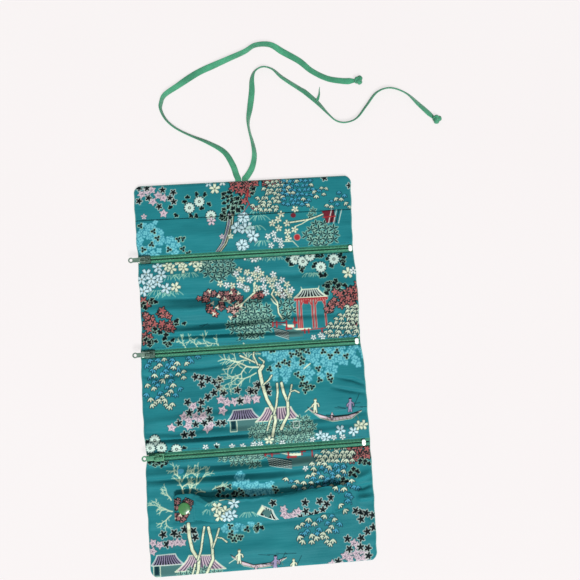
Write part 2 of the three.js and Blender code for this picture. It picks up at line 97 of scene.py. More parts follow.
class Finish:
    def __init__(self, name, kind=bpy.data.materials, shader="Principled BSDF"):
        self.material = kind.new(name)
        self.material.use_nodes = True
        self.tree = self.material.node_tree
        self.shader = self.tree.nodes[shader]

    def join(self, node, socket, value):
        if isinstance(value, Value):
            self.tree.links.new(value.socket, node.inputs[socket])
        else:
            node.inputs[socket].default_value = value

    def node(self, kind, settings=None, sockets=None, output=0):
        node = self.tree.nodes.new(kind)
        for key, value in (settings or {}).items():
            if key == "stops":
                for stop, (place, shade) in zip(node.color_ramp.elements, value):
                    stop.position, stop.color = place, (shade, shade, shade, 1)
            else:
                setattr(node, key, value)
        for socket, value in (sockets or {}).items():
            self.join(node, socket, value)
        return Value(self, node.outputs[output])

    def surface(self, **sockets):
        for name, value in sockets.items():
            words = name if name.isupper() else "".join(" " + c if c.isupper() else c for c in name).strip()
            self.join(self.shader, words, value)
        return self.material

    def blend(self, amount, first, second, kind="MIX"):
        settings = {"data_type": "RGBA", "blend_type": kind}
        return self.node("ShaderNodeMix", settings, {0: amount, 6: first, 7: second}, 2)

    def noise(self, place, scale, detail=2.0):
        return self.node("ShaderNodeTexNoise", {}, {"Vector": place, "Scale": scale, "Detail": detail})

    def bump(self, height, distance, strength=1.0):
        return self.node("ShaderNodeBump", {}, {"Height": height, "Distance": distance, "Strength": strength})

    def ramp(self, amount, low, high):  # nought below low, one above high
        return self.node("ShaderNodeValToRGB", {"stops": [(low, 0), (high, 1)]}, {0: amount})

    def ripple(self, place, scale, direction="X", distortion=0.0):
        settings = {"wave_type": "BANDS", "bands_direction": direction, "wave_profile": "SIN"}
        return self.node("ShaderNodeTexWave", settings,
                         {"Vector": place, "Scale": scale, "Distortion": distortion})

    def seenDirectly(self):  # one for rays that show the ground itself, not its light on the roll
        kinds = ("Camera", "Glossy", "Transmission")
        rays = [self.node("ShaderNodeLightPath", output=f"Is {kind} Ray") for kind in kinds]
        return rays[0] + rays[1] + rays[2]

    def objectPlace(self):
        return self.node("ShaderNodeTexCoord", output="Object")

    def attribute(self, name, output):
        return self.node("ShaderNodeAttribute", {"attribute_name": name}, output=output)

    def mottle(self, scale, detail, low, high, dark, light):  # patches, and their two shades mixed
        patchy = self.ramp(self.noise(self.objectPlace(), scale, detail), low, high)
        return patchy, self.blend(patchy, paint(*dark), paint(*light))


def linear(colour):  # a screen colour from 0 to 255, as the renderer counts it
    shares = np.asarray(colour, float) / 255
    return np.where(shares <= 0.04045, shares / 12.92, ((shares + 0.055) / 1.055) ** 2.4)


def paint(*colour):
    return (*[float(c) for c in linear(colour)], 1.0)


# white ground and soft light from above
studio = {
    "sky": (1, 0.97, 0.965, 1), "skyLight": 0.3, "skySeen": 0.93, "floor": (248, 244, 244),
    "floorShade": (246, 241, 241), "floorHalf": 3.0, "floorGlow": 0.8,
    # place, power and size
    "lamps": {"key": ((0.84, -4.9, 6.1), 625.0, 2.2), "fill": ((-0.7, 0.6, 1.0), 1.5, 1.2)},
}


def makeStudio():
    sky = Finish("sky", bpy.data.worlds, "Background")
    strength = studio["skyLight"] + (studio["skySeen"] - studio["skyLight"]) * sky.seenDirectly()
    scene.world = sky.surface(Color=studio["sky"], Strength=strength)
    for name, (place, power, size) in studio["lamps"].items():
        lamp = bpy.data.lights.new(name, "AREA")
        lamp.energy, lamp.size = power, size
        light = bpy.data.objects.new(name, lamp)
        light.location = place
        light.rotation_euler = (Vector((0, 0, 0)) - Vector(place)).to_track_quat("-Z", "Y").to_euler()
        scene.collection.objects.link(light)

    bm = bmesh.new()
    bmesh.ops.create_grid(bm, x_segments=2, y_segments=2, size=studio["floorHalf"])
    floor = addPiece("floor", bm)
    finish = Finish("paleFloor")
    paper = finish.noise(finish.objectPlace(), 4.0)
    tint = finish.blend(paper, paint(*studio["floor"]), paint(*studio["floorShade"]))
    finish.surface(BaseColor=tint, Roughness=0.9)
    glow = finish.node("ShaderNodeEmission", {}, {"Color": tint, "Strength": 1.0})
    lit = Value(finish, finish.shader.outputs[0])
    mixed = finish.node("ShaderNodeMixShader", {},
                        {0: studio["floorGlow"] * finish.seenDirectly(), 1: lit, 2: glow})
    finish.join(finish.tree.nodes["Material Output"], "Surface", mixed)
    floor.data.materials.append(finish.material)


def addPiece(name, bm):
    mesh = bpy.data.meshes.new(name)
    bm.to_mesh(mesh)
    bm.free()
    mesh.shade_smooth()
    piece = bpy.data.objects.new(name, mesh)
    scene.collection.objects.link(piece)
    return piece


def addGrid(name, columns, rows, faceDown=False):
    bm = bmesh.new()
    bmesh.ops.create_grid(bm, x_segments=columns, y_segments=rows, size=0.5)
    if faceDown:
        bmesh.ops.reverse_faces(bm, faces=bm.faces)
    piece = addPiece(name, bm)
    flat = places(piece)
    return piece, flat[:, 0] + 0.5, flat[:, 1] + 0.5


def places(piece):
    flat = np.empty(3 * len(piece.data.vertices), np.float32)
    piece.data.vertices.foreach_get("co", flat)
    return flat.reshape(-1, 3).astype(float)


def place(piece, x, y, z):  # millimetres
    spots = np.stack(np.broadcast_arrays(x, y, z), axis=1) * mm
    piece.data.vertices.foreach_set("co", spots.astype(np.float32).ravel())
    piece.data.update()


def note(piece, name, kind, values):  # a value for each point, which materials read
    attribute = piece.data.attributes.new(name, kind, "POINT")
    field = "vector" if kind == "FLOAT_VECTOR" else "value"
    attribute.data.foreach_set(field, np.ravel(values).astype(np.float32))


def noteCloth(piece, *along):  # where each point is on the flat cloth
    note(piece, "cloth", "FLOAT_VECTOR", np.stack(np.broadcast_arrays(*along), axis=1))


@contextmanager
def reworked(piece):  # lends a piece's mesh for editing
    bm = bmesh.new()
    bm.from_mesh(piece.data)
    yield bm
    bmesh.ops.recalc_face_normals(bm, faces=bm.faces)
    bm.to_mesh(piece.data)
    bm.free()


def ease(t):  # from nought to one, slow at both ends
    t = np.clip(t, 0, 1)
    return t * t * (3 - 2 * t)


def dress(piece, finish, body=None, nodes=()):
    piece.data.materials.clear()
    piece.data.materials.append(finish)
    if nodes:
        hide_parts(*nodes)
    if body:
        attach(piece, body)
    return piece


makeStudio()
print("camera, floor and lights placed")

# the tie: one narrow tape in two strands, whose routes are the CAD's, with its twist at each point in degrees
tie = {
    "width": 5.4, "thickness": 1.4, "square": 0.75, "around": 14, "edge": 165.0, "roots": (-4.0, 2.0),
    "sewnIn": 0.7, "clear": 2.0, "rootHeight": 1.85, "comesDown": 8.0, "lift": 0.16, "intoKnot": 2.6,
    "squeezeFrom": 6.5, "squeeze": 0.55,
}
knot = {
    "along": 2.7, "across": 3.0, "rise": 1.35, "halfWidth": 1.9, "halfDepth": 1.25, "square": 0.85,
    "points": 97,
}
tail = {  # the frayed end beside the right knot
    "route": [
        (69.6, 233.2, 2.6), (71.2, 236.5, 2.2), (72.3, 240, 1.3), (72.6, 243.5, 0.8), (73.3, 246.8, 0.5)],
    "halfWidth": 1.5, "halfDepth": 0.5, "thin": 0.12, "twist": 20.0,
}
sewnFold = {"halfWidth": 1.4, "slack": 0.1, "top": 0.2, "sides": 2.6, "bottom": 1.5, "steps": 6}
tieRoutes = {
    "left": [
        (-5.4, 6), (-8, 15), (-15, 27), (-29, 36), (-44, 43), (-56, 50), (-64, 58), (-68, 67), (-67.5, 73),
        (-64, 80), (-52, 88), (-40, 96), (-31, 101), (-20, 105), (-7, 110), (8, 116), (18, 121.5),
        (31, 121.5), (42, 115), (56.5, 106), (67, 96.5), (80.5, 89), (94.5, 86), (103.5, 85.5)],
    "right": [
        (4, 4), (9, 12), (11.5, 22), (10.8, 32), (8.2, 45), (7.8, 54), (10, 65), (12.5, 80), (13.3, 91),
        (16.3, 98), (23.5, 101.5), (32, 99), (40.5, 91), (55, 80.5), (60, 77), (70, 67), (78.5, 56.5),
        (85.5, 49.5), (94, 47.5), (104, 51), (113.5, 62), (123.5, 73.5), (136, 77), (150, 71.5), (161, 61),
        (172.5, 49.5)],
}
tieTwists = {
    "left": [
        0, 8, 22, 44, 60, 66, 70, 72, 72, 68, 52, 26, 14, 40, 58, 66, 72, 60, 24, 8, -6, -4, 4, 26],
    "right": [
        12, 26, 40, 56, 72, 62, 28, -8, -44, -62, -66, -58, -40, -30, -22, -34, -60, -70, -72, -72, -70, -66,
        -68, -58, -30, -16],
}


def smoothLine(points, steps=10):  # an even curve through the points
    points = np.asarray(points, float)
    padded = np.vstack([2 * points[0] - points[1], points, 2 * points[-1] - points[-2]])
    line = []
    for before, first, second, after in zip(padded, padded[1:], padded[2:], padded[3:]):
        t = np.arange(steps)[:, None] / steps
        square, cube = 2 * before - 5 * first + 4 * second - after, 3 * first - before - 3 * second + after
        line.append(0.5 * (2 * first + (second - before) * t + square * t ** 2 + cube * t ** 3))
    return np.vstack(line + [points[-1:]])


def blunt(wave, power):  # a wave from -1 to 1, made squarer by a power below one
    return np.sign(wave) * np.abs(wave) ** power


def sweep(name, line, sides, halfWidth, halfDepth, twist, square=1.0):
    # a tube along a line, with an oval section that turns by twist; its ends are closed
    count = len(line)
    piece, u, v = addGrid(name, count - 1, tie["around"])
    station = np.rint(u * (count - 1)).astype(int)
    turn = 2 * math.pi * np.rint(v * tie["around"]) / tie["around"]
    heading = np.gradient(line, axis=0)
    heading /= np.linalg.norm(heading, axis=1)[:, None]
    level = sides - heading * np.sum(sides * heading, axis=1)[:, None]
    level /= np.linalg.norm(level, axis=1)[:, None]
    upward = np.cross(heading, level)
    lean = np.broadcast_to(np.radians(twist), count)[:, None]
    wide = level * np.cos(lean) + upward * np.sin(lean)
    deep = upward * np.cos(lean) - level * np.sin(lean)
    width, depth = np.broadcast_to(halfWidth, count)[station], np.broadcast_to(halfDepth, count)[station]
    spots = line[station] + wide[station] * (width * blunt(np.cos(turn), square))[:, None]
    spots += deep[station] * (depth * blunt(np.sin(turn), square))[:, None]
    place(piece, *spots.T)
    run = np.append(0, np.cumsum(np.linalg.norm(np.diff(line, axis=0), axis=1)))
    noteCloth(piece, run[station], width * np.cos(turn), turn)
    with reworked(piece) as bm:
        bmesh.ops.remove_doubles(bm, verts=bm.verts, dist=1e-7)
        bmesh.ops.holes_fill(bm, edges=[e for e in bm.edges if e.is_boundary])
    piece.data.shade_smooth()
    return piece


def tieFinish():
    finish = Finish("tieTape")
    along = finish.attribute("cloth", "Vector")
    ribs = finish.ripple(along, 0.55, "Y", 0.6)
    knit = finish.ripple(along, 0.9, "X", 1.5)
    _, shade = finish.mottle(90.0, 3.0, 0.3, 0.72, (42, 126, 92), (70, 166, 124))
    shade = finish.blend(0.25 * ribs, shade, paint(28, 100, 74))
    height = 0.6 * ribs + 0.4 * knit
    return finish.surface(BaseColor=shade, Roughness=0.62 + 0.15 * knit, SheenWeight=0.35,
                          SheenRoughness=0.45, Normal=finish.bump(height, 0.0002, 0.7))


def flatSide(line):  # level, and square to the line
    return np.stack([-np.gradient(line[:, 1]), np.gradient(line[:, 0]), 0 * line[:, 0]], axis=1)


def makeStrand(name, root, finish):
    route, twists = tieRoutes[name], tieTwists[name]
    start = [(root, tie["edge"] + step, tie["rootHeight"]) for step in (-tie["sewnIn"], tie["clear"])]
    (x0, y0), (x1, y1) = route[-2:]
    further = tie["intoKnot"] / math.hypot(x1 - x0, y1 - y0)
    reached = route + [(x1 + further * (x1 - x0), y1 + further * (y1 - y0))]
    line = smoothLine(start + [(x, tie["edge"] + y, 0) for x, y in reached])
    twist = smoothLine([(0, 0, t) for t in [0, 0] + twists + twists[-1:]])[:, 2]
    lean = np.radians(twist)
    lying = np.hypot(tie["width"] / 2 * np.sin(lean), tie["thickness"] / 2 * np.cos(lean)) + tie["lift"]
    off = ease((line[:, 1] - tie["edge"] - tie["clear"]) / tie["comesDown"])
    line[:, 2] = tie["rootHeight"] + (lying - tie["rootHeight"]) * off
    near = np.clip(1 - np.linalg.norm(line - line[-1], axis=1) / tie["squeezeFrom"], 0, 1)
    halfWidth = tie["width"] / 2 * (1 - tie["squeeze"] * near)
    piece = sweep("tieStrand" + name.capitalize(), line, flatSide(line), halfWidth, tie["thickness"] / 2,
                  twist, tie["square"])
    return dress(piece, finish, "upper_panel", ["tie_strand_" + name]), line


def makeTie():
    finish = tieFinish()
    for name, root in zip(("left", "right"), tie["roots"]):
        piece, line = makeStrand(name, root, finish)
        extra = [makeKnot(name, finish)]
        if name == "right":
            wisp = smoothLine(tail["route"])
            share = np.linspace(1, tail["thin"], len(wisp))
            frayed = sweep("tieTail", wisp, flatSide(wisp), tail["halfWidth"] * share,
                           tail["halfDepth"] * share, tail["twist"])
            extra.append(dress(frayed, finish, "upper_panel"))
        (line * mm).tolist()
    low, high = (np.array(corner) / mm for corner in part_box("tie_fold"))
    left, right, middle = low[0] + tie["width"] / 2, high[0] - tie["width"] / 2, 0.5 * (low[2] + high[2])
    top, sides, bottom = high[1] - sewnFold["top"], low[1] + sewnFold["sides"], low[1] + sewnFold["bottom"]
    corners = [(left, top), (left, sides), (0.5 * (low[0] + high[0]), bottom), (right, sides), (right, top)]
    loop = smoothLine([(x, y, middle) for x, y in corners], sewnFold["steps"])
    fold = sweep("tieFold", loop, flatSide(loop), sewnFold["halfWidth"],
                 tie["thickness"] / 2 - sewnFold["slack"], 0.0)
    dress(fold, finish, "upper_panel", ["tie_fold"])


def makeKnot(name, finish):  # an overhand knot pulled tight
    low, high = (np.array(corner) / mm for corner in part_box("tie_knot_" + name))
    (x0, y0), (x1, y1) = tieRoutes[name][-2:]
    heading = math.atan2(y1 - y0, x1 - x0)
    t = np.linspace(0, 2 * math.pi, knot["points"])
    along = (np.cos(t) - 2 * np.cos(2 * t)) / 3 * knot["along"]
    across = (np.sin(t) + 2 * np.sin(2 * t)) / 3 * knot["across"]
    c, s = math.cos(heading), math.sin(heading)
    middle = 0.5 * (low + high)
    line = middle + np.stack([along * c - across * s, along * s + across * c, -np.sin(3 * t) * knot["rise"]],
                             axis=1)
    sides = np.cross(np.gradient(line, axis=0), line - middle + np.array([0, 0, 1e-3]))
    piece = sweep("tieKnot" + name.capitalize(), line, sides, knot["halfWidth"], knot["halfDepth"], 0.0,
                  knot["square"])
    return dress(piece, finish, "upper_panel", ["tie_knot_" + name])


makeTie()
print("tie made")


silk = {  # thread colours, as they look on a screen
    "ground": (33, 126, 134), "shade": (8, 46, 54), "ink": (2, 6, 10), "outline": (212, 230, 220),
    "leafLine": (168, 218, 194), "cream": (230, 242, 212), "white": (236, 248, 244),
    "iceBlue": (204, 236, 242), "cyan": (112, 198, 208), "cyanLine": (40, 128, 150), "blue": (82, 174, 206),
    "mauve": (226, 206, 214), "mauveShade": (94, 80, 102), "red": (166, 48, 52), "darkRed": (112, 34, 46),
    "rose": (212, 172, 162), "daisy": (206, 232, 220), "bark": (230, 240, 206), "barkShade": (128, 122, 90),
    "slate": (72, 118, 116), "branch": (210, 230, 196), "violet": (160, 150, 184),
}


def nearSegment(px, py, start, end):  # each point's place along a straight line, and how far it is from it
    (x0, y0), (x1, y1) = start, end
    dx, dy = x1 - x0, y1 - y0
    t = np.clip(((px - x0) * dx + (py - y0) * dy) / max(dx * dx + dy * dy, 1e-9), 0, 1)
    return t, np.hypot(px - x0 - t * dx, py - y0 - t * dy)


class Loom:
    step = 0.22  # millimetres from one woven point to the next

    def __init__(self, left, right, low, high):
        self.left, self.low = left, low
        rows, columns = int((high - low) / self.step) + 2, int((right - left) / self.step) + 2
        self.ink = np.tile(np.array(silk["ground"], float), (rows, columns, 1))
        self.raised = np.zeros((rows, columns))

    def span(self, places, reach, start, count):  # the rows or columns that a shape may cover
        first = int((min(places) - reach - start) / self.step)
        last = int((max(places) + reach - start) / self.step) + 2
        return slice(max(first, 0), max(min(last, count), 0))

    # lays a thread colour where the distance is below nought, with a soft edge
    def lay(self, xs, ys, reach, distance, colour):
        rows = self.span(ys, reach, self.low, self.raised.shape[0])
        columns = self.span(xs, reach, self.left, self.raised.shape[1])
        if rows.start >= rows.stop or columns.start >= columns.stop:
            return
        y = self.low + self.step * np.arange(rows.start, rows.stop)[:, None]
        x = self.left + self.step * np.arange(columns.start, columns.stop)[None, :]
        cover = np.clip(0.5 - distance(x, y) / (1.5 * self.step), 0, 1)
        spot = self.ink[rows, columns]
        spot += (np.array(silk[colour], float) - spot) * cover[..., None]
        rise = self.raised[rows, columns]
        rise += (1 - rise) * cover

    def oval(self, x, y, long, short, turn, colour):
        c, s = math.cos(turn), math.sin(turn)

        def distance(px, py):
            along, across = (px - x) * c + (py - y) * s, (py - y) * c - (px - x) * s
            return (np.hypot(along / long, across / short) - 1) * min(long, short)
        self.lay([x], [y], max(long, short) + 0.5, distance, colour)

    def leaf(self, x, y, length, half, turn, colour):  # pointed at both ends; x, y is its root
        c, s = math.cos(turn), math.sin(turn)

        def distance(px, py):
            along = ((px - x) * c + (py - y) * s) / (0.5 * length) - 1
            across = np.abs((py - y) * c - (px - x) * s)
            side = 0.85 * (across - half * (1 - along * along))
            return np.maximum(side, (np.abs(along) - 1) * 0.5 * length)
        self.lay([x], [y], length + 0.5, distance, colour)

    def stroke(self, points, width, colour, tip=None):
        tip = width if tip is None else tip
        count = len(points) - 1

        def distance(px, py):
            best = None
            for i in range(count):
                t, away = nearSegment(px, py, points[i], points[i + 1])
                away = away - 0.5 * (width + (tip - width) * (i + t) / count)
                best = away if best is None else np.minimum(best, away)
            return best
        self.lay([p[0] for p in points], [p[1] for p in points], width + 0.5, distance, colour)

    def patch(self, corners, colour):
        def distance(px, py):
            best, inside = None, False
            for (x0, y0), (x1, y1) in zip(corners, corners[1:] + corners[:1]):
                _, away = nearSegment(px, py, (x0, y0), (x1, y1))
                best = away if best is None else np.minimum(best, away)
                crosses = ((y0 > py) != (y1 > py)) & (px < x0 + (py - y0) * (x1 - x0) / (y1 - y0 or 1e-9))
                inside = np.logical_xor(inside, crosses)
            return np.where(inside, -best, best)
        self.lay([c[0] for c in corners], [c[1] for c in corners], 1.0, distance, colour)


def onRing(x, y, reach, angle):
    return x + reach * math.cos(angle), y + reach * math.sin(angle)


def petals(loom, x, y, count, reach, half, colour, turn=0.0, start=0.12):
    for i in range(count):
        angle = turn + 2 * math.pi * i / count
        loom.oval(*onRing(x, y, reach * (0.5 + start / 2), angle), reach * (0.5 - start / 2), half, angle,
                  colour)


def blossom(loom, x, y, size, colour, heart, turn=0.3):  # five notched petals
    for lean, middle, long, short, thread in ((0.17, 0.55, 0.5, 0.21, "shade"),
                                              (0.15, 0.56, 0.42, 0.15, colour)):
        for i in range(5):
            for side in (-lean, lean):
                angle = turn + 2 * math.pi * i / 5 + side
                loom.oval(*onRing(x, y, middle * size, angle), long * size, short * size, angle, thread)
    loom.oval(x, y, 0.12 * size, 0.12 * size, 0, heart)


def inkStar(loom, x, y, size, turn=0.5):  # a dark flower with a pale outline
    petals(loom, x, y, 5, size + 0.55, 0.25 * size + 0.42, "outline", turn, 0)
    petals(loom, x, y, 5, size, 0.25 * size, "ink", turn, 0)


def mauveStar(loom, x, y, size, turn=0.3):
    for reach, thread in ((size + 0.5, "shade"), (size, "mauve")):
        loom.patch([onRing(x, y, reach * (0.52 if i % 2 else 1), turn + math.pi * i / 5) for i in range(10)],
                   thread)
    petals(loom, x, y, 5, 0.6 * size, 0.16, "mauveShade", turn, 0)


def trefoil(loom, x, y, size, turn=0.5):
    petals(loom, x, y, 3, 1.15 * size + 0.5, 0.42 * size + 0.45, "leafLine", turn, 0.1)
    petals(loom, x, y, 3, 1.15 * size, 0.42 * size, "ink", turn, 0.1)


def trefoilBud(loom, x, y, size, turn=0.0):
    petals(loom, x, y, 3, size + 0.25, 0.36 * size, "darkRed", turn, 0)
    petals(loom, x, y, 3, size, 0.3 * size, "cream", turn, 0)


def fan(loom, x, y, size, colour, turn):  # a drooping leaf of three pointed lobes
    for grow, thread in ((0.65, "shade"), (0.0, colour)):
        for lean in (-0.7, 0.7, 0.0):
            angle = turn - math.pi / 2 + lean
            loom.leaf(x, y + 0.85 * size, 1.7 * size + grow, 0.21 * size + grow, angle, thread)


def daisy(loom, x, y, size):
    loom.oval(x, y, size + 0.3, size + 0.3, 0, "shade")
    petals(loom, x, y, 12, size, 0.19 * size, "daisy", 0.1, 0.2)
    loom.oval(x, y, 0.27 * size, 0.27 * size, 0, "ink")
    loom.oval(x, y, 0.15 * size, 0.15 * size, 0, "daisy")


def inkLeaf(loom, x, y, size, turn):
    for grow, colour in ((0.38, "leafLine"), (0.0, "ink")):
        for lean, reach in ((-0.9, 0.85), (0.0, 1.0), (0.9, 0.85)):
            loom.leaf(x, y, size * reach + grow, 0.3 * size + grow, turn + lean, colour)


def leafBush(loom, x, y, half, height, size, seed):  # whorls of leaves with pale edges
    dice = random.Random(seed)
    rows = max(1, round(2 * height / (0.95 * size)))
    for j in range(rows, -1, -1):
        py = -1 + 2 * j / rows
        wide = half * math.sqrt(max(1 - 0.8 * py * py, 0.12))
        count = max(1, round(2 * wide / (1.25 * size)))
        for i in range(count):
            px = x + wide * (2 * (i + 0.35 + 0.3 * (j % 2)) / count - 1) + dice.uniform(-0.7, 0.7)
            lean = math.pi / 2 + dice.uniform(-0.2, 0.2)
            for k in (-2.2, 2.2, -1.1, 1.1, 0):
                turn, reach = lean + k + dice.uniform(-0.2, 0.2), size * dice.uniform(0.85, 1.1)
                loom.leaf(px, y + py * height, reach + 0.2, 0.19 * size + 0.25, turn, "leafLine")
                loom.leaf(px, y + py * height, reach - 0.3, 0.19 * size - 0.22, turn, "shade")


def cloud(loom, x, y, half, height, seed):  # a mass of small pale clover flowers
    dice = random.Random(seed)
    for i in range(int(half * height / 2.6)):
        px, py = dice.uniform(-1, 1), dice.uniform(-1, 1)
        if px * px + py * py > 1:
            continue
        size, turn = dice.uniform(2.2, 3.0), dice.uniform(0, 1.5)
        px, py = x + px * half, y + py * height
        petals(loom, px, py, 4, size + 0.4, 0.42 * size + 0.35, "cyanLine", turn, 0)
        petals(loom, px, py, 4, size, 0.4 * size, "cyan", turn, 0.05)
        loom.oval(px, py, 0.35, 0.35, 0, "cyanLine")


def coral(loom, x, y, size, colour, seed):  # a ragged cluster of red leaves with pale edges
    dice = random.Random(seed)
    for i in range(7):
        px, py = x + dice.gauss(0, 0.6) * size, y + dice.gauss(0, 0.5) * size
        reach, turn = dice.uniform(0.5, 0.72) * size, dice.uniform(0, 6.28)
        for grow, thread in ((0.95, "ink"), (0.28, "rose"), (-0.06, colour)):
            for k in range(5):
                loom.leaf(px, py, reach + grow, 0.13 * reach + grow, turn + 1.257 * k, thread)


def inkSpray(loom, x, y, size, seed):  # dark leaves scattered in a patch
    dice = random.Random(seed)
    for i in range(max(3, int(size * size / 4.5))):
        px, py = dice.gauss(0, 0.5), dice.gauss(0, 0.5)
        inkLeaf(loom, x + px * size, y + py * size, dice.uniform(2.9, 4.0), dice.uniform(0, 6.28))


def grass(loom, x, y, size, seed):  # thin blades that arch over and droop
    dice = random.Random(seed)
    for i in range(7):
        side = (i - 3) / 3 + dice.uniform(-0.1, 0.1)
        reach = size * dice.uniform(0.8, 1.35)
        loom.stroke([(x + 1.3 * reach * side * t, y + 0.8 * size + reach * t * (0.55 - 1.15 * t))
                     for t in (0.4, 0.55, 0.7, 0.85, 1.0)], 0.55, "leafLine", 0.45)


def bough(loom, x, y, length, turn, width, colour, seed):  # a bare branch, forking again and again
    dice = random.Random(seed)

    def grow(px, py, reach, heading, thick, forks):
        curl, points = dice.uniform(-0.15, 0.15), [(px, py)]
        for i in range(4):
            heading += curl + dice.uniform(-0.12, 0.12)
            px, py = onRing(px, py, reach / 4, heading)
            points.append((px, py))
        loom.stroke(points, thick, colour, max(0.8 * thick, 0.42))
        if forks:
            side = dice.choice((-1, 1))
            for way, lean, share in ((side, 0.32, 0.85), (-side, 0.62, 0.72)):
                further = reach * share * dice.uniform(0.85, 1.1)
                bent = heading + way * lean * dice.uniform(0.8, 1.2)
                grow(px, py, further, bent, max(0.74 * thick, 0.46), forks - 1)
            grow(*points[2], 0.5 * reach, heading - side * dice.uniform(0.7, 1.0), 0.46, 0)

    grow(x, y, 0.36 * length, turn, width, 3)


def trunk(loom, points, width, tip):
    loom.stroke(points, width + 0.7, "shade", tip + 0.7)
    loom.stroke(points, 0.86 * width, "bark", 0.86 * tip)
    for (x0, y0), (x1, y1) in zip(points, points[1:]):
        x, y = 0.5 * (x0 + x1), 0.5 * (y0 + y1)
        loom.stroke([(x, y), (x + 0.28 * width, y + 0.5)], 0.35, "barkShade")


def stripedRoof(loom, corners, ridge, stripes, light, dark):
    # corners run eave left, ridge left, ridge right, eave right
    (ex0, ey0), (rx0, ry0), (rx1, ry1), (ex1, ey1) = corners

    def rib(t):  # from eave to ridge, hollow where the roof flares out
        ex, ey = ex0 + t * (ex1 - ex0), ey0 + t * (ey1 - ey0)
        rx, ry = rx0 + t * (rx1 - rx0), ry0 + t * (ry1 - ry0)
        return [(ex + (rx - ex) * s * (1.55 - 0.55 * s), ey + (ry - ey) * s) for s in (0, 0.25, 0.5, 0.75, 1)]

    rim = rib(0) + rib(1)[::-1]
    loom.patch(rim, dark)
    for i in range(stripes):
        loom.stroke(rib((i + 0.5) / stripes), 0.8, light)
    loom.stroke(rim + rim[:1], 0.8, ridge)


def scaled(x, y, unit, places, rise=1.0):  # places given in shares of a length across, and upwards
    return [(x + across * unit, y + up * rise) for across, up in places]


def hut(loom, x, y, width):
    half, wall, sill, ridge = width / 2, -0.34 * width, -0.27 * width, 0.3 * width
    loom.patch(scaled(x, y, half, [(-0.86, 0), (-0.86, wall), (0.84, wall), (0.84, 0)]), "slate")
    loom.stroke(scaled(x, y, half, [(-0.86, 0), (-0.86, wall), (-0.45, wall), (-0.45, 0)]), 0.6, "cream")
    loom.patch(scaled(x, y, half, [(-0.78, -0.5), (-0.78, sill), (-0.53, sill), (-0.53, -0.5)]), "shade")
    roof = scaled(x, y, half, [(-1, 0), (-0.62, ridge), (0.5, 1.05 * ridge), (1, 0.1)])
    stripedRoof(loom, roof, "outline", 11, "violet", "ink")


def pavilion(loom, x, y, width):  # two bays on red columns; x, y is the middle of the eaves
    half, deck = width / 2, y - 0.95 * width
    for grow, thread in ((0.8, "rose"), (0.0, "red")):
        for part in (-0.88, -0.66, 0.06, 0.24, 0.88):
            loom.stroke([(x + part * half, y), (x + part * half + 0.3, deck)], 1.1 + grow, thread)
        for start, end in ((-0.62, 0.0), (0.3, 0.84)):
            arch = [(start, -5.6), (start + 0.1, -2.6), (end - 0.1, -2.6), (end, -5.6)]
            loom.stroke(scaled(x, y, half, arch), 0.9 + grow, thread)
        loom.stroke(scaled(x, y, half, [(-0.98, -0.9), (1, -1.1)]), 2.4 + grow, thread)
    loom.patch(scaled(x, y, half, [(-0.5, -2), (-0.12, -2), (-0.18, -5.4), (-0.46, -4.8)]), "red")
    for i in range(13):
        loom.oval(x + (-0.92 + 0.153 * i) * half, y - 1.6, 0.42, 0.42, 0, "rose")
    loom.patch(scaled(x, deck, half, [(-1.25, 0), (-0.1, 0), (-0.1, -1.3), (-1, -1.3)]), "cream")
    loom.stroke(scaled(x, deck, half, [(-0.7, -2), (0.8, -1)]), 0.8, "red")
    for part in (-0.5, -0.25, 0.6):
        loom.stroke(scaled(x, deck, half, [(part, -1.2), (part, -4.2)]), 1.3, "red")
    roof = scaled(x, y, half, [(-1.06, 0.6), (-0.55, 7.4), (0.5, 7.4), (1.06, 0.4)])
    stripedRoof(loom, roof, "cream", 9, "outline", "ink")
    for side in (-1, 1):
        loom.stroke(scaled(x, y, half, [(0.5 * side, 7), (0.58 * side, 9.6)]), 0.8, "cream", 0.5)


def terrace(loom, x, y, width):  # a deck with rails, seen from one end; x, y is its left end
    loom.patch(scaled(x, y, width, [(0.28, -1.6), (0.7, -2.6), (0.7, -5.0), (0.55, -5.0)]), "cream")
    loom.patch(scaled(x, y, width, [(0.5, -6), (0.98, -6), (0.98, -13), (0.5, -13)]), "slate")
    for i in range(5):
        for gap, thick, thread in ((0, 0.8, "ink"), (0.7, 0.5, "outline")):
            plank = [(0.03 + 0.01 * i, -4.2 - gap - 1.4 * i), (0.5, -8.4 - gap - 1.4 * i)]
            loom.stroke(scaled(x, y, width, plank), thick, thread)
    loom.stroke(scaled(x, y, width, [(0, 0), (0.45, -0.4)]), 1.1, "darkRed")
    loom.stroke(scaled(x, y, width, [(0, -1.8), (0.28, -1.9)]), 0.6, "red")
    for part, top, foot in ((0.0, 0.4, -3), (0.13, 1, -3.6), (0.45, 1, -6.4), (0.72, 3, -4.4), (0.92, 3, -6)):
        loom.stroke(scaled(x, y, width, [(part, top), (part, foot)]), 1.3, "red")
    loom.stroke(scaled(x, y, width, [(0.43, -5.6), (0.6, -5.6)]), 1.7, "red")
    loom.stroke(scaled(x, y, width, [(0.7, -0.6), (0.78, -1)]), 2.2, "red")


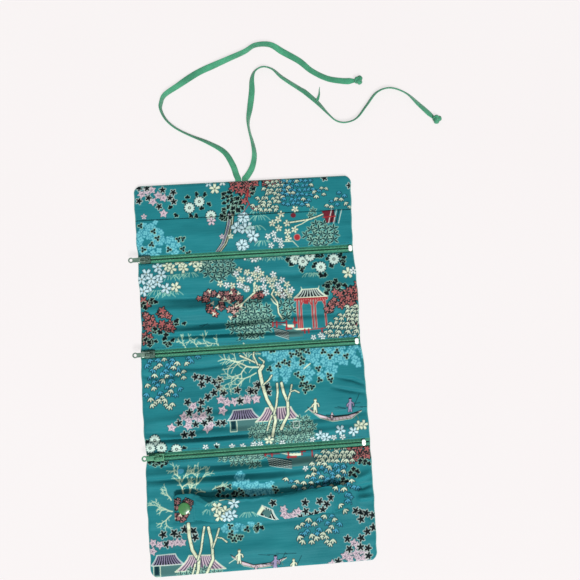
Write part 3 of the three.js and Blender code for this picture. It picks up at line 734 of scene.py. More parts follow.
def figure(loom, x, y, size, robe, hair="barkShade", pole=0):  # a tiny standing figure, plain, without a face
    body = lambda *places: scaled(x, y, size, places, size)
    for grow, thread in ((0.7, "ink"), (0.0, robe)):
        for lean in (-0.09, 0.1):
            loom.stroke(body((lean, 0), (0.4 * lean, 0.42)), 0.11 * size + grow, thread)
        loom.stroke(body((0, 0.3), (0.05, 0.72)), 0.24 * size + grow, thread, 0.17 * size + grow)
        for side, drop in ((0.26, 0.6), (-0.18, 0.52)):
            loom.stroke(body((0.04, 0.7), (side, drop), (1.1 * side, 0.42)), 0.09 * size + grow, thread)
        loom.oval(x + 0.06 * size, y + 0.88 * size, 0.1 * size + 0.4 * grow, 0.11 * size + 0.4 * grow, 0,
                  thread)
    loom.oval(x + 0.06 * size, y + 0.96 * size, 0.1 * size, 0.045 * size, 0, hair)
    if pole:
        (handX, handY), = body((0.25, 0.3))
        loom.stroke([(handX, handY), (handX + 0.55 * pole, handY + pole)], 0.4, "shade")


def boat(loom, x, y, length):  # x, y is the bow; the hull runs to the right
    part = lambda *places: scaled(x, y, length, places, length)
    hull = [(x, y + 1.2)] + part((0.16, -0.1), (0.4, -0.2), (0.75, -0.18), (1, -0.1))
    under = [(x + 0.02 * length, y - 1)] + part((0.22, -0.2), (0.45, -0.27), (0.8, -0.24), (1, -0.12))
    loom.patch(hull + under[::-1], "ink")
    loom.patch([(a, b - 0.45) for a, b in hull] + [(a, b + 0.55) for a, b in under[::-1]], "mauve")
    loom.stroke(under, 0.5, "cream")
    loom.stroke(hull, 0.5, "ink")
    for i in range(9):
        t = 0.35 + 0.07 * i
        loom.stroke(part((t, -0.2), (t + 0.02, -0.25)), 0.4, "barkShade")
    for i in range(4):
        t = 0.5 + 0.16 * i
        loom.stroke(scaled(x, y, length, [(t, -0.02 * length - 0.7 * (i % 2)), (t + 0.2, -0.05 * length)]),
                    0.4, "shade")


# parts of the cloth, each with its upper left corner in millimetres, its unit and its turn in degrees
sketches = {
    "flapLeft": (-103.6, 184.2, 0.1085, -3.1), "flapRight": (-5.9, 183.8, 0.1097, -3.45),
    "firstLeft": (-101.3, 109.6, 0.107, -3.3), "firstRight": (-5.3, 110.4, 0.1082, -3.6),
    "secondLeft": (-102.5, 34.0, 0.1054, -3.5), "secondRight": (-9.3, 33.5, 0.1066, -3.8),
    "thirdLeft": (-101.6, -51.8, 0.1037, -3.7), "thirdRight": (-5.4, -54.9, 0.1048, -4.0),
}


class Sketch:  # draws on the loom at places that count across and down one part of the cloth
    def __init__(self, loom, name):
        self.loom = loom
        self.left, self.top, unit, turn = sketches[name]
        self.across, self.down = unit * math.cos(math.radians(turn)), unit * math.sin(math.radians(turn))

    def at(self, x, y):
        return self.left + self.across * x + self.down * y, self.top - self.across * y + self.down * x

    def line(self, places):
        return [self.at(*place) for place in places]

    def stroke(self, places, *rest):
        self.loom.stroke(self.line(places), *rest)

    def patch(self, places, colour):
        self.loom.patch(self.line(places), colour)

    def trunk(self, places, width, tip):
        trunk(self.loom, self.line(places), width, tip)

    def roof(self, places, *rest):
        stripedRoof(self.loom, self.line(places), *rest)

    def scatter(self, draw, places, *rest, seed=1, spin=0.0):  # a place may go on with values of its own
        dice = random.Random(seed)
        for x, y, *own in places:
            turn = {"turn": dice.uniform(-spin, spin)} if spin else {}
            draw(self.loom, *self.at(x, y), *own, *rest, **turn)

    def sow(self, draw, seed, places, *rest):  # motifs that each grow from a seed of their own
        for i, (x, y, *own) in enumerate(places):
            draw(self.loom, *self.at(x, y), *own, *rest, seed + i)

    def fans(self, blues, creams, size, seed, spin=0.6):
        dice = random.Random(seed)
        for colour, places in (("blue", blues), ("cream", creams)):
            for place in places:
                fan(self.loom, *self.at(*place), size * dice.uniform(0.9, 1.15), colour,
                    dice.uniform(-spin, spin))


def weaveFlap(loom):
    on = Sketch(loom, "flapLeft")
    on.sow(cloud, 11, [(235, 600, 11.5, 16), (420, 650, 6.5, 9)])
    on.scatter(trefoil, [
        (155, 495), (260, 540), (290, 595), (245, 645), (180, 685), (380, 685), (490, 600), (490, 680),
        (535, 715), (455, 605)], 2.2, spin=1.5)
    on.scatter(mauveStar, [
        (160, 240), (240, 205), (290, 250), (250, 300), (335, 270), (200, 215), (335, 395)], 4.1, spin=0.6)
    on.scatter(inkStar, [
        (140, 190), (200, 190), (325, 205), (410, 225), (215, 270), (140, 295), (385, 270), (415, 300),
        (300, 340)], 3.0, spin=0.6)
    on.scatter(inkLeaf, [
        (440, 400), (395, 355), (525, 275), (500, 290), (585, 240), (650, 240), (690, 330), (640, 365),
        (560, 405), (605, 410)], 3.4, spin=3)
    on.scatter(daisy, [(540, 350), (618, 300), (710, 412)], 4.6)
    on.scatter(blossom, [(715, 460, 4.0, "mauve", "ink"), (740, 195, 5.0, "cream", "barkShade"),
                         (690, 150, 3.6, "iceBlue", "shade"), (800, 140, 3.6, "white", "shade"),
                         (180, 420, 2.6, "mauve", "ink")])
    stem = on.line([(868, 400), (862, 480), (845, 560), (815, 640), (770, 700)])
    loom.stroke(stem, 6.6, "ink", 4.6)
    for shift, colour in ((-2.1, "outline"), (-1.0, "violet"), (0.1, "outline"), (1.1, "barkShade"),
                          (2.1, "cream")):
        loom.stroke([(x + shift, y) for x, y in stem], 0.62, colour, 0.5)
    on.sow(inkSpray, 40, [
        (860, 290), (890, 330), (930, 280), (850, 360), (910, 380), (830, 270), (800, 420)], 5.2)
    on.scatter(blossom, [(870, 582, 2.6, "cream", "barkShade"), (800, 585, 2.4, "mauve", "ink")])
    on.scatter(blossom, [(970, 435), (925, 512), (1045, 590), (965, 655), (1010, 515)], 5.6, "iceBlue",
               "shade", spin=0.5)

    on = Sketch(loom, "flapRight")
    on.scatter(blossom, [(70, 470), (150, 620), (60, 690), (20, 555), (85, 560)], 5.4, "iceBlue", "shade",
               seed=5, spin=0.5)
    on.sow(grass, 60, [(165, 580), (195, 500), (180, 450), (230, 700)], 6.0)
    on.sow(coral, 70, [
        (40, 190), (25, 260), (120, 215), (200, 150), (280, 160), (0, 150), (95, 160)], 5.4, "red")
    on.stroke([(105, 250), (100, 330), (140, 400), (190, 370)], 1.3, "red", 0.5)
    on.stroke([(115, 360), (70, 430)], 0.9, "red", 0.4)
    on.scatter(inkSpray, [(410, 150), (5, 330), (130, 250)], 4.0, 77)
    dice = random.Random(8)
    creams = [(155 + 37 * i + 18 * (j % 2) + dice.uniform(-8, 8), 180 + 33 * j + dice.uniform(-7, 7))
              for j in range(8) for i in range(8) if 110 < 37 * i + 22 * j < 330 and i + j > 2]
    on.fans([], creams, 2.0, 9)
    blues = [(385 + 38 * i + 19 * (j % 2) + dice.uniform(-7, 7), 140 + 36 * j + dice.uniform(-7, 7))
             for j in range(7) for i in range(9) if i + 0.6 * j < 9 and (i < 6 or j > 2)]
    on.fans(blues, [
        (430, 225), (465, 270), (545, 320), (615, 205), (625, 265), (590, 370), (690, 230), (735, 235),
        (710, 280), (650, 300), (735, 370), (770, 380), (800, 320), (850, 320), (880, 355), (920, 380),
        (490, 175)], 1.9, 10)
    on.fans([(830, 265), (875, 290), (815, 360), (770, 335)], [], 1.9, 11)
    on.scatter(inkStar, [(715, 145, 3.0), (915, 205, 2.8)])
    on.scatter(blossom, [
        (345, 485), (415, 515), (350, 555), (420, 585), (475, 565), (425, 635), (300, 515), (370, 440),
        (480, 400)], 3.3, "cream", "red", spin=0.6)
    on.scatter(blossom, [
        (265, 620), (310, 598), (325, 642), (362, 652), (290, 690),
        (370, 690)], 2.8, "white", "shade", spin=0.6)
    loom.oval(*on.at(495, 625), 2.9, 2.9, 0, "rose")
    loom.oval(*on.at(495, 625), 2.5, 2.5, 0, "red")
    loom.oval(*on.at(465, 450), 2.3, 2.1, 0, "darkRed")
    on.sow(leafBush, 21, [(690, 605, 15, 9.5, 5.0), (610, 432, 8, 2.4, 4.0)])
    on.patch([(690, 410), (790, 400), (800, 500), (730, 510)], "darkRed")
    for i in range(5):
        on.stroke([(770 + 20 * i, 400), (745 + 20 * i, 510)], 0.7, ("outline", "ink")[i % 2])
    on.stroke([(700, 465), (800, 455)], 1.0, "red")
    on.trunk([(440, 508), (520, 495), (600, 480), (700, 440)], 1.5, 1.2)
    on.stroke([(480, 540), (530, 520), (590, 482)], 0.8, "bark")
    on.stroke([(390, 660), (460, 655), (505, 700)], 0.8, "bark", 0.5)


def weaveFirst(loom):
    on = Sketch(loom, "firstLeft")
    on.sow(grass, 80, [(350, 250), (420, 240), (300, 385), (370, 375), (500, 230), (240, 370)], 5.5)
    on.scatter(blossom, [
        (150, 195), (240, 140), (240, 262), (180, 292), (310, 312), (130, 332), (115, 240), (190, 235),
        (270, 205)], 5.0, "iceBlue", "barkShade", spin=0.5)
    on.scatter(blossom, [
        (350, 155), (445, 150), (385, 300), (600, 105), (415, 105), (520, 100), (315, 130), (560, 140),
        (640, 110)], 4.6, "cream", "barkShade", seed=4, spin=0.5)
    on.sow(leafBush, 31, [(725, 150, 14.5, 9), (960, 595, 18, 10.5)], 5.0)
    on.sow(coral, 90, [
        (620, 388, 4.0, "red"), (665, 355, 3.0, "darkRed"), (680, 470, 4.2, "red"),
        (745, 450, 3.4, "darkRed"), (735, 362, 3.4, "darkRed"), (820, 380, 4.4, "darkRed"),
        (875, 388, 4.0, "darkRed"), (850, 492, 4.4, "rose"), (930, 470, 3.2, "darkRed"),
        (1040, 370, 3.4, "red")])
    on.scatter(trefoilBud, [
        (655, 335), (725, 375), (680, 430), (720, 465), (690, 515), (775, 395), (810, 415), (880, 430),
        (820, 545), (880, 525), (825, 348), (885, 352), (910, 455)], 1.9, spin=2)
    on.stroke([(1015, 265), (1005, 350), (930, 425), (860, 462)], 1.5, "bark", 0.7)
    on.stroke([(735, 415), (790, 415), (850, 450)], 0.6, "bark", 0.5)
    blooms = [
        (890, 165), (950, 190), (1032, 185), (865, 195), (890, 240), (970, 243), (740, 275), (790, 287),
        (835, 290), (905, 290), (950, 317)]
    on.scatter(blossom, blooms[::2], 3.0, "cream", "red", seed=6, spin=0.6)
    on.scatter(blossom, blooms[1::2], 3.0, "white", "red", seed=7, spin=0.6)
    on.sow(coral, 110, [
        (150, 425), (172, 535), (300, 515), (170, 605), (290, 610), (140, 690), (345, 610)], 4.6, "red")
    on.sow(inkSpray, 130, [
        (205, 405), (150, 465), (400, 590), (240, 640), (300, 700), (345, 735), (200, 740), (140, 740)], 3.8)
    on.sow(bough, 150, [(465, 785, 12), (560, 785, 13), (650, 790, 14), (730, 785, 11)], 1.75, 0.8, "branch")
    for place in [(610, 608), (905, 725)]:
        px, py = on.at(*place)
        loom.stroke([(px - 4, py), (px, py + 0.7), (px + 4.5, py + 0.2)], 0.5, "shade")
        loom.stroke([(px - 2, py - 1.2), (px + 3, py + 1.6)], 0.4, "shade")

    on = Sketch(loom, "firstRight")
    on.sow(grass, 160, [(120, 150), (200, 150), (300, 150), (560, 280), (620, 280)], 5.0)
    on.scatter(blossom, [(40, 110), (110, 130), (150, 110)], 3.8, "white", "shade", spin=0.5)
    for i, place in enumerate([
        (370, 135), (490, 212), (425, 92), (630, 92), (700, 112), (720, 180), (820, 160), (815, 100),
        (655, 250), (585, 175), (400, 170)]):
        inkLeaf(loom, *on.at(*place), 4.2, 1.3 * i)
        inkLeaf(loom, *on.at(place[0] + 14, place[1] + 6), 3.4, 1.3 * i + 2)
    on.scatter(daisy, [(440, 130), (502, 150), (557, 105), (750, 130), (645, 195)], 4.8)
    on.scatter(blossom, [(862, 240, 5.2, "cream", "barkShade"), (905, 222, 3.6, "white", "shade")])
    on.sow(inkSpray, 170, [(690, 330), (740, 310), (760, 360), (810, 350), (700, 370), (820, 390)], 4.4)
    on.sow(leafBush, 33, [(130, 610, 15, 13.5), (375, 520, 6.5, 8)], 5.0)
    on.sow(coral, 180, [(150, 425, 3.6), (325, 402, 3.0)], "red")
    on.trunk([(272, 375), (252, 415), (298, 480), (308, 560), (340, 608)], 1.6, 1.3)
    on.stroke([(250, 450), (270, 480), (296, 500)], 1.0, "bark")
    on.stroke([(112, 330), (120, 400), (50, 460), (5, 515)], 1.4, "bark", 0.8)
    blooms = [
        (60, 240), (140, 215), (170, 250), (80, 300), (140, 290), (55, 370), (215, 290), (265, 255),
        (275, 290), (335, 300), (375, 335), (410, 380), (140, 365), (190, 355), (255, 345), (210, 400),
        (300, 405), (345, 425), (370, 390), (0, 340), (110, 255), (300, 340), (235, 310), (185, 300),
        (20, 300), (320, 370), (395, 420)]
    on.scatter(blossom, blooms[::2], 3.1, "cream", "red", seed=8, spin=0.6)
    on.scatter(blossom, blooms[1::2], 3.1, "white", "red", seed=9, spin=0.6)
    on.scatter(terrace, [(262, 640, 26)])
    on.scatter(pavilion, [(562, 440, 27)])
    on.sow(coral, 190, [
        (830, 400, 5.5), (890, 420, 5.5), (930, 390, 4.5), (860, 480, 5.0), (935, 560, 4.2), (945, 620, 4.0),
        (710, 520, 3.6), (740, 480, 3.2)], "red")
    dice = random.Random(14)
    creams = [(690 + 36 * i + 18 * (j % 2) + dice.uniform(-7, 7), 515 + 33 * j + dice.uniform(-6, 6))
              for j in range(8) for i in range(8) if i + j > 4 and 690 + 36 * i < 945]
    on.fans([], creams, 2.1, 15)
    on.fans([(840, 750), (880, 745), (915, 750), (800, 755)], [], 1.8, 16)
    on.scatter(blossom, [(585, 755), (640, 735), (660, 752)], 2.6, "white", "shade", spin=0.5)


def weaveSecond(loom):
    on = Sketch(loom, "secondLeft")
    blues = [
        (155, 185), (228, 180), (325, 175), (345, 180), (470, 160), (490, 185), (545, 150), (130, 225),
        (290, 220), (330, 205), (190, 262), (285, 265), (385, 255), (250, 290), (325, 300), (155, 320),
        (225, 345), (190, 352), (320, 345), (225, 378), (295, 395), (395, 410), (240, 440), (140, 455),
        (215, 478), (370, 455), (315, 235)]
    creams = [
        (270, 172), (235, 218), (205, 238), (380, 205), (445, 208), (350, 240), (425, 270), (385, 292),
        (428, 318), (200, 303), (285, 310), (270, 345), (140, 380), (190, 405), (345, 380), (335, 425),
        (310, 450), (270, 475), (170, 492), (205, 515), (245, 503), (290, 500), (180, 540), (345, 530),
        (300, 535), (325, 555)]
    on.fans(blues, creams, 2.3, 17, 0.5)
    on.scatter(mauveStar, [
        (510, 540), (730, 490), (780, 510), (745, 575), (840, 505), (440, 620), (480, 650), (530, 620),
        (575, 640), (620, 720), (470, 700), (650, 690), (340, 710), (940, 485), (1010, 480),
        (590, 612)], 4.4, seed=21, spin=0.6)
    on.scatter(inkStar, [
        (525, 310), (575, 320), (575, 370), (625, 330), (680, 350), (720, 335), (712, 395), (750, 435),
        (675, 435), (625, 470), (575, 510), (465, 510), (565, 565), (635, 575), (480, 590), (400, 670),
        (530, 685), (600, 675), (645, 640), (710, 680), (750, 675), (500, 765), (440, 770), (860, 415),
        (960, 420), (1000, 425), (890, 490), (1015, 375)], 3.3, seed=22, spin=0.6)
    on.scatter(hut, [(915, 650)], 28)
    on.sow(bough, 210, [
        (1050, 235, 34, 3.05, 1.5, "bark"), (1040, 215, 28, 2.6, 1.3, "bark"),
        (1010, 280, 30, 3.5, 1.1, "branch"), (900, 240, 22, 2.75, 0.9, "branch"),
        (870, 310, 20, 3.8, 0.8, "branch"), (960, 200, 16, 2.0, 0.8, "branch")])
    on.scatter(inkLeaf, [(240, 835), (150, 830), (440, 880), (330, 890)], 3.4, spin=3)
    on.scatter(daisy, [(205, 810), (172, 868), (262, 866), (380, 880)], 4.6)
    on.scatter(blossom, [(610, 865), (700, 850), (820, 862), (990, 850), (905, 862)], 2.8, "white", "shade",
               spin=0.5)
    on.scatter(inkLeaf, [(690, 870, 3.2, 0.6)])

    on = Sketch(loom, "secondRight")
    on.sow(cloud, 220, [
        (270, 180, 9.5, 7), (400, 200, 9, 9), (330, 310, 9, 9), (600, 170, 9, 7.5), (690, 190, 9, 8.5),
        (680, 290, 8.5, 8), (830, 170, 9, 8), (930, 180, 7, 8.5), (500, 310, 6, 5), (550, 350, 4.5, 4),
        (720, 130, 8, 5)])
    on.scatter(trefoil, [
        (235, 295), (305, 265), (350, 240), (385, 250), (410, 180), (455, 165), (480, 130), (505, 140),
        (480, 185), (495, 215), (540, 155), (490, 245), (625, 290), (455, 335), (495, 365), (635, 380),
        (710, 345), (725, 380), (490, 420), (525, 410), (540, 440), (575, 435), (520, 465), (720, 190),
        (775, 155), (665, 155), (850, 190), (255, 148)], 2.3, seed=23, spin=1.5)
    on.scatter(mauveStar, [(60, 535), (130, 530), (20, 540)], 4.4, seed=24, spin=0.6)
    on.scatter(inkStar, [(145, 420), (90, 470), (225, 478), (215, 430), (5, 545)], 3.3, seed=25, spin=0.6)
    on.roof([(125, 712), (205, 600), (405, 590), (485, 682)], "cream", 13, "mauve", "mauveShade")
    on.sow(leafBush, 240, [(160, 790, 9, 5), (300, 800, 12, 8), (500, 770, 11, 9), (420, 850, 12, 4)], 3.9)
    on.stroke([(425, 710), (475, 708), (472, 755), (428, 757), (425, 710)], 0.7, "outline")
    on.trunk([(0, 190), (60, 215), (115, 240), (180, 275), (190, 235), (150, 205)], 1.7, 1.2)
    on.trunk([(110, 150), (105, 190), (140, 260)], 1.6, 1.4)
    on.trunk([(180, 270), (155, 310), (180, 420), (215, 530), (272, 630), (285, 700), (262, 815)], 3.3, 2.6)
    on.trunk([(295, 410), (300, 480), (290, 580), (272, 650)], 1.9, 1.6)
    on.trunk([(252, 345), (230, 380), (185, 420)], 1.6, 1.2)
    on.trunk([(255, 660), (235, 720), (220, 775)], 1.7, 1.5)
    on.trunk([(330, 405), (348, 480), (380, 550), (385, 650), (330, 765)], 2.5, 2.6)
    on.trunk([(412, 420), (400, 480), (382, 540)], 1.5, 1.3)
    on.trunk([(470, 478), (435, 460), (405, 470)], 1.3, 1.0)
    on.stroke([(510, 290), (540, 265), (560, 250)], 1.0, "bark")
    on.scatter(boat, [(540, 605, 46)])
    on.scatter(figure, [(600, 635, 11.5, "cream", "barkShade")])
    on.stroke([(520, 632), (570, 590)], 0.6, "cream")
    on.scatter(figure, [(735, 690, 5.5, "mauve"), (880, 630, 11.5, "violet", "ink", 11)])
    on.stroke([(690, 660), (760, 668), (860, 660), (950, 640)], 0.8, "ink")
    on.stroke([(780, 590), (840, 605)], 0.45, "shade")
    on.stroke([(900, 570), (960, 560)], 0.45, "shade")
    on.scatter(blossom, [(640, 815), (800, 775), (905, 785), (690, 835)], 4.6, "iceBlue", "shade", seed=26,
               spin=0.5)
    on.scatter(blossom, [(985, 735), (235, 850), (950, 740)], 4.4, "cream", "barkShade", seed=27, spin=0.5)
    on.scatter(blossom, [
        (750, 835), (820, 830), (120, 885), (340, 875), (165, 885),
        (580, 850)], 2.7, "white", "shade", seed=28, spin=0.5)


def weaveThird(loom):
    on = Sketch(loom, "thirdLeft")
    on.sow(leafBush, 41, [(860, 140, 20, 3.4), (960, 165, 10, 2.6)], 3.8)
    on.scatter(inkSpray, [(205, 210), (165, 190), (240, 190)], 4.2, 250)
    loom.oval(*on.at(362, 240), 3.0, 1.8, 0, "blue")
    on.sow(cloud, 251, [(860, 330, 7, 8), (930, 400, 9, 6), (1000, 400, 7, 6.5)])
    on.scatter(trefoil, [
        (755, 365), (860, 430), (905, 435), (950, 440), (1005, 435), (840, 400)], 2.2, spin=1.5)
    on.sow(inkSpray, 254, [(680, 400, 5.0), (770, 440, 4.5)])
    on.sow(bough, 260, [
        (388, 425, 17, 1.75, 1.5), (375, 320, 15, 2.2, 1.0), (375, 320, 15, 1.1, 1.0),
        (430, 430, 15, 0.9, 1.4), (495, 340, 15, 1.4, 1.1), (500, 335, 15, 0.5, 0.9),
        (560, 410, 14, 2.6, 1.0), (620, 390, 13, 0.7, 0.8), (290, 470, 13, 1.9, 1.1),
        (300, 560, 15, 2.9, 1.2), (290, 590, 15, 3.7, 1.1), (215, 540, 12, 2.5, 0.8)], "branch")
    on.scatter(inkStar, [
        (230, 740), (345, 745), (262, 815), (400, 700), (470, 715), (485, 762),
        (318, 730)], 3.4, seed=31, spin=0.6)
    on.scatter(mauveStar, [
        (150, 805), (205, 820), (300, 808), (385, 802), (150, 870), (345, 800)], 3.9, seed=32, spin=0.6)
    on.scatter(hut, [(270, 975)], 27.5)
    on.roof([(330, 1030), (440, 900), (620, 895), (735, 1008)], "cream", 13, "mauve", "mauveShade")
    on.sow(leafBush, 43, [(520, 1050, 18, 3.5)], 3.8)
    on.sow(cloud, 280, [(770, 690, 8, 4), (940, 690, 8, 3.5)])
    on.scatter(trefoil, [
        (765, 680), (830, 760), (770, 762), (800, 785), (850, 765), (775, 735), (900, 705), (985, 680),
        (975, 705)], 2.3, seed=33, spin=1.5)
    on.trunk([(430, 660), (440, 760), (465, 860), (520, 935), (515, 1010), (498, 1090)], 3.1, 2.6)
    on.trunk([(557, 685), (545, 770), (535, 860), (512, 935)], 1.9, 1.7)
    on.trunk([(490, 970), (475, 1030), (455, 1090)], 1.7, 1.5)
    on.trunk([(590, 690), (612, 770), (625, 850), (632, 930), (565, 1085)], 2.5, 2.4)
    on.trunk([(675, 700), (655, 770), (630, 840)], 1.6, 1.4)
    on.trunk([(740, 800), (700, 770), (665, 765)], 1.3, 1.0)
    on.scatter(boat, [(772, 905, 46)])
    on.scatter(figure, [(840, 965, 11.5, "cream", "barkShade")])
    on.stroke([(760, 965), (820, 925)], 0.6, "cream")
    on.scatter(figure, [(975, 1030, 5.0, "mauve")])

    on = Sketch(loom, "thirdRight")
    on.scatter(terrace, [(115, 125, 43)])
    on.scatter(blossom, [(440, 250), (495, 215)], 2.6, "white", "shade", spin=0.5)
    on.sow(coral, 290, [
        (805, 122, 4.0), (860, 118, 4.4), (925, 112, 4.4), (840, 165, 4.4), (910, 170, 4.6),
        (950, 140, 4)], "red")
    on.scatter(inkSpray, [(900, 205), (845, 270), (820, 300), (940, 210), (760, 350)], 3.6, 300)
    dice = random.Random(18)
    creams = [(530 + 38 * i + 19 * (j % 2) + dice.uniform(-7, 7), 95 + 32 * j + dice.uniform(-6, 6))
              for j in range(4) for i in range(8) if i + j > 1 and 530 + 38 * i < 790 + 10 * j]
    on.fans([], creams, 2.3, 19, 0.5)
    blues = [
        (685, 235), (740, 245), (570, 250), (605, 270), (545, 290), (640, 275), (660, 295), (710, 275),
        (600, 330), (625, 340), (660, 325), (505, 330), (325, 355), (545, 365), (600, 360), (655, 360),
        (700, 360), (390, 425), (500, 410), (610, 395), (760, 300), (790, 400), (835, 405), (865, 415),
        (790, 460), (800, 490), (770, 490), (785, 530), (755, 240)]
    creams = [
        (490, 215), (540, 215), (600, 220), (640, 250), (510, 260), (495, 300), (455, 315), (565, 320),
        (705, 315), (755, 280), (290, 335), (380, 360), (430, 370), (495, 370), (350, 400), (440, 415),
        (550, 405), (370, 460), (655, 395), (750, 380), (755, 435), (690, 410), (810, 355)]
    on.fans(blues, creams, 2.3, 20, 0.5)
    on.sow(cloud, 310, [(30, 410, 8, 6.5), (130, 420, 8, 7)])
    on.scatter(trefoil, [(190, 405), (205, 430), (100, 480), (30, 480), (250, 470)], 2.2, seed=34, spin=1.5)
    on.sow(inkSpray, 312, [(60, 720, 4.0)])
    blues = [
        (650, 630), (555, 660), (615, 685), (460, 700), (720, 695), (460, 745), (560, 735), (690, 745),
        (425, 770), (510, 775), (535, 770), (440, 765)]
    creams = [
        (600, 635), (470, 660), (670, 660), (410, 695), (380, 715), (515, 690), (660, 715), (635, 745),
        (590, 770), (390, 800), (490, 785), (570, 795), (610, 795), (425, 830), (525, 805), (495, 830),
        (620, 830), (665, 825), (645, 852), (755, 595)]
    on.fans(blues, creams, 2.4, 21, 0.5)
    on.scatter(mauveStar, [
        (830, 840), (860, 860), (900, 900), (850, 920), (930, 930), (790, 910), (760, 940), (870, 960),
        (660, 1000), (800, 960), (920, 960), (720, 990)], 4.2, seed=35, spin=0.6)
    on.scatter(inkStar, [
        (850, 590), (890, 605), (985, 625), (890, 655), (990, 720), (940, 750), (890, 800), (780, 805),
        (795, 885), (885, 870), (945, 880), (950, 940), (705, 980), (935, 610)], 3.4, seed=36, spin=0.6)
    on.scatter(figure, [(205, 1050, 13, "violet", "ink", 11), (350, 1050, 10, "cream", "barkShade", 9)])
    on.stroke([(80, 995), (150, 1000), (190, 985)], 0.45, "shade")
    on.stroke([(230, 1025), (330, 1020)], 0.45, "shade")


def weaveBar(loom):
    on = Sketch(loom, "thirdLeft")
    on.sow(bough, 320, [(300, 560, 15, 2.9, 1.2), (290, 590, 14, 3.6, 1.1), (290, 480, 12, 2.1, 1.0)],
           "branch")
    on.sow(coral, 330, [
        (330, 485), (425, 480), (325, 530), (345, 620), (385, 605), (440, 520)], 3.2, "darkRed")
    on.scatter(trefoilBud, [(325, 628), (375, 598), (438, 572)], 1.8, spin=2)
    on.sow(grass, 340, [(615, 590, 6), (640, 520, 5)])
    on.scatter(blossom, [(670, 530), (735, 560), (690, 600)], 5.2, "cream", "barkShade", spin=0.5)
    on.scatter(blossom, [(785, 590), (800, 495), (745, 610)], 5.0, "iceBlue", "shade", spin=0.5)
    on.stroke([(690, 470), (740, 455), (800, 475)], 0.9, "bark", 0.5)
    on.sow(grass, 342, [(920, 610, 5)])
    on = Sketch(loom, "thirdRight")
    on.roof([(60, 610), (95, 540), (180, 575), (235, 665)], "outline", 5, "outline", "ink")
    on.patch([(55, 605), (95, 540), (120, 560), (80, 612)], "cream")
    on.patch([(95, 600), (130, 565), (175, 590), (150, 640)], "slate")
    on.scatter(mauveStar, [
        (265, 570), (270, 610), (310, 625), (350, 615), (380, 590), (290, 640)], 3.8, seed=41, spin=0.6)
    on.scatter(inkStar, [
        (435, 520), (440, 590), (550, 515), (605, 535), (640, 485), (575, 580), (520, 610), (480, 625),
        (400, 640), (180, 520)], 3.3, seed=42, spin=0.6)
    on.fans([
        (790, 400), (770, 480), (800, 490), (785, 530),
        (720, 440)], [(755, 435), (750, 380), (720, 560), (690, 420)], 2.3, 22, 0.5)


roll = {
    "halfWidth": 95.0, "halfLength": 165.0, "corner": 7.0, "wave": 0.3, "seam": 2.2, "edgeRound": 3.4,
    "front": 5.0, "facing": 4.05, "back": 0.3, "lipRadius": 0.42, "hem": 2.2, "reveal": 3.4,
    "slipMouth": 134.0, "facingEnd": 111.2, "points": 0.45, "backPoints": 0.7, "threadRise": 0.1,
    "overTape": 4.35, "tapeReach": 13.0, "tapeStep": 2.0, "overLining": 3.45, "give": 0.12, "rimHighlightShare": 0.82,
    "margin": (2.0, 4.0),
}
zipperLines = {}
for which in ("first", "second", "third"):
    low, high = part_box(which + "_zip_slider")
    zipperLines[which] = 0.5 * (low.y + high.y) / mm
# how far each side seam is from the middle line, from the bottom edge to the tie edge
sideSeams = {
    "left": [
        (-165, 95), (-105, 95.7), (-85, 95.6), (-66, 94.2), (-45, 95.6), (-20, 95.7), (20, 95.2), (36, 93.6),
        (62, 93.4), (85, 94.2), (100, 93.7), (120, 94.6), (165, 95)],
    "right": [
        (-165, 95), (-110, 95.7), (-60, 95.7), (-20, 95.5), (5, 95), (19, 93.3), (30, 93.5), (60, 94.3),
        (80, 93.7), (100, 92.6), (130, 93.5), (150, 94.5), (165, 95)],
}
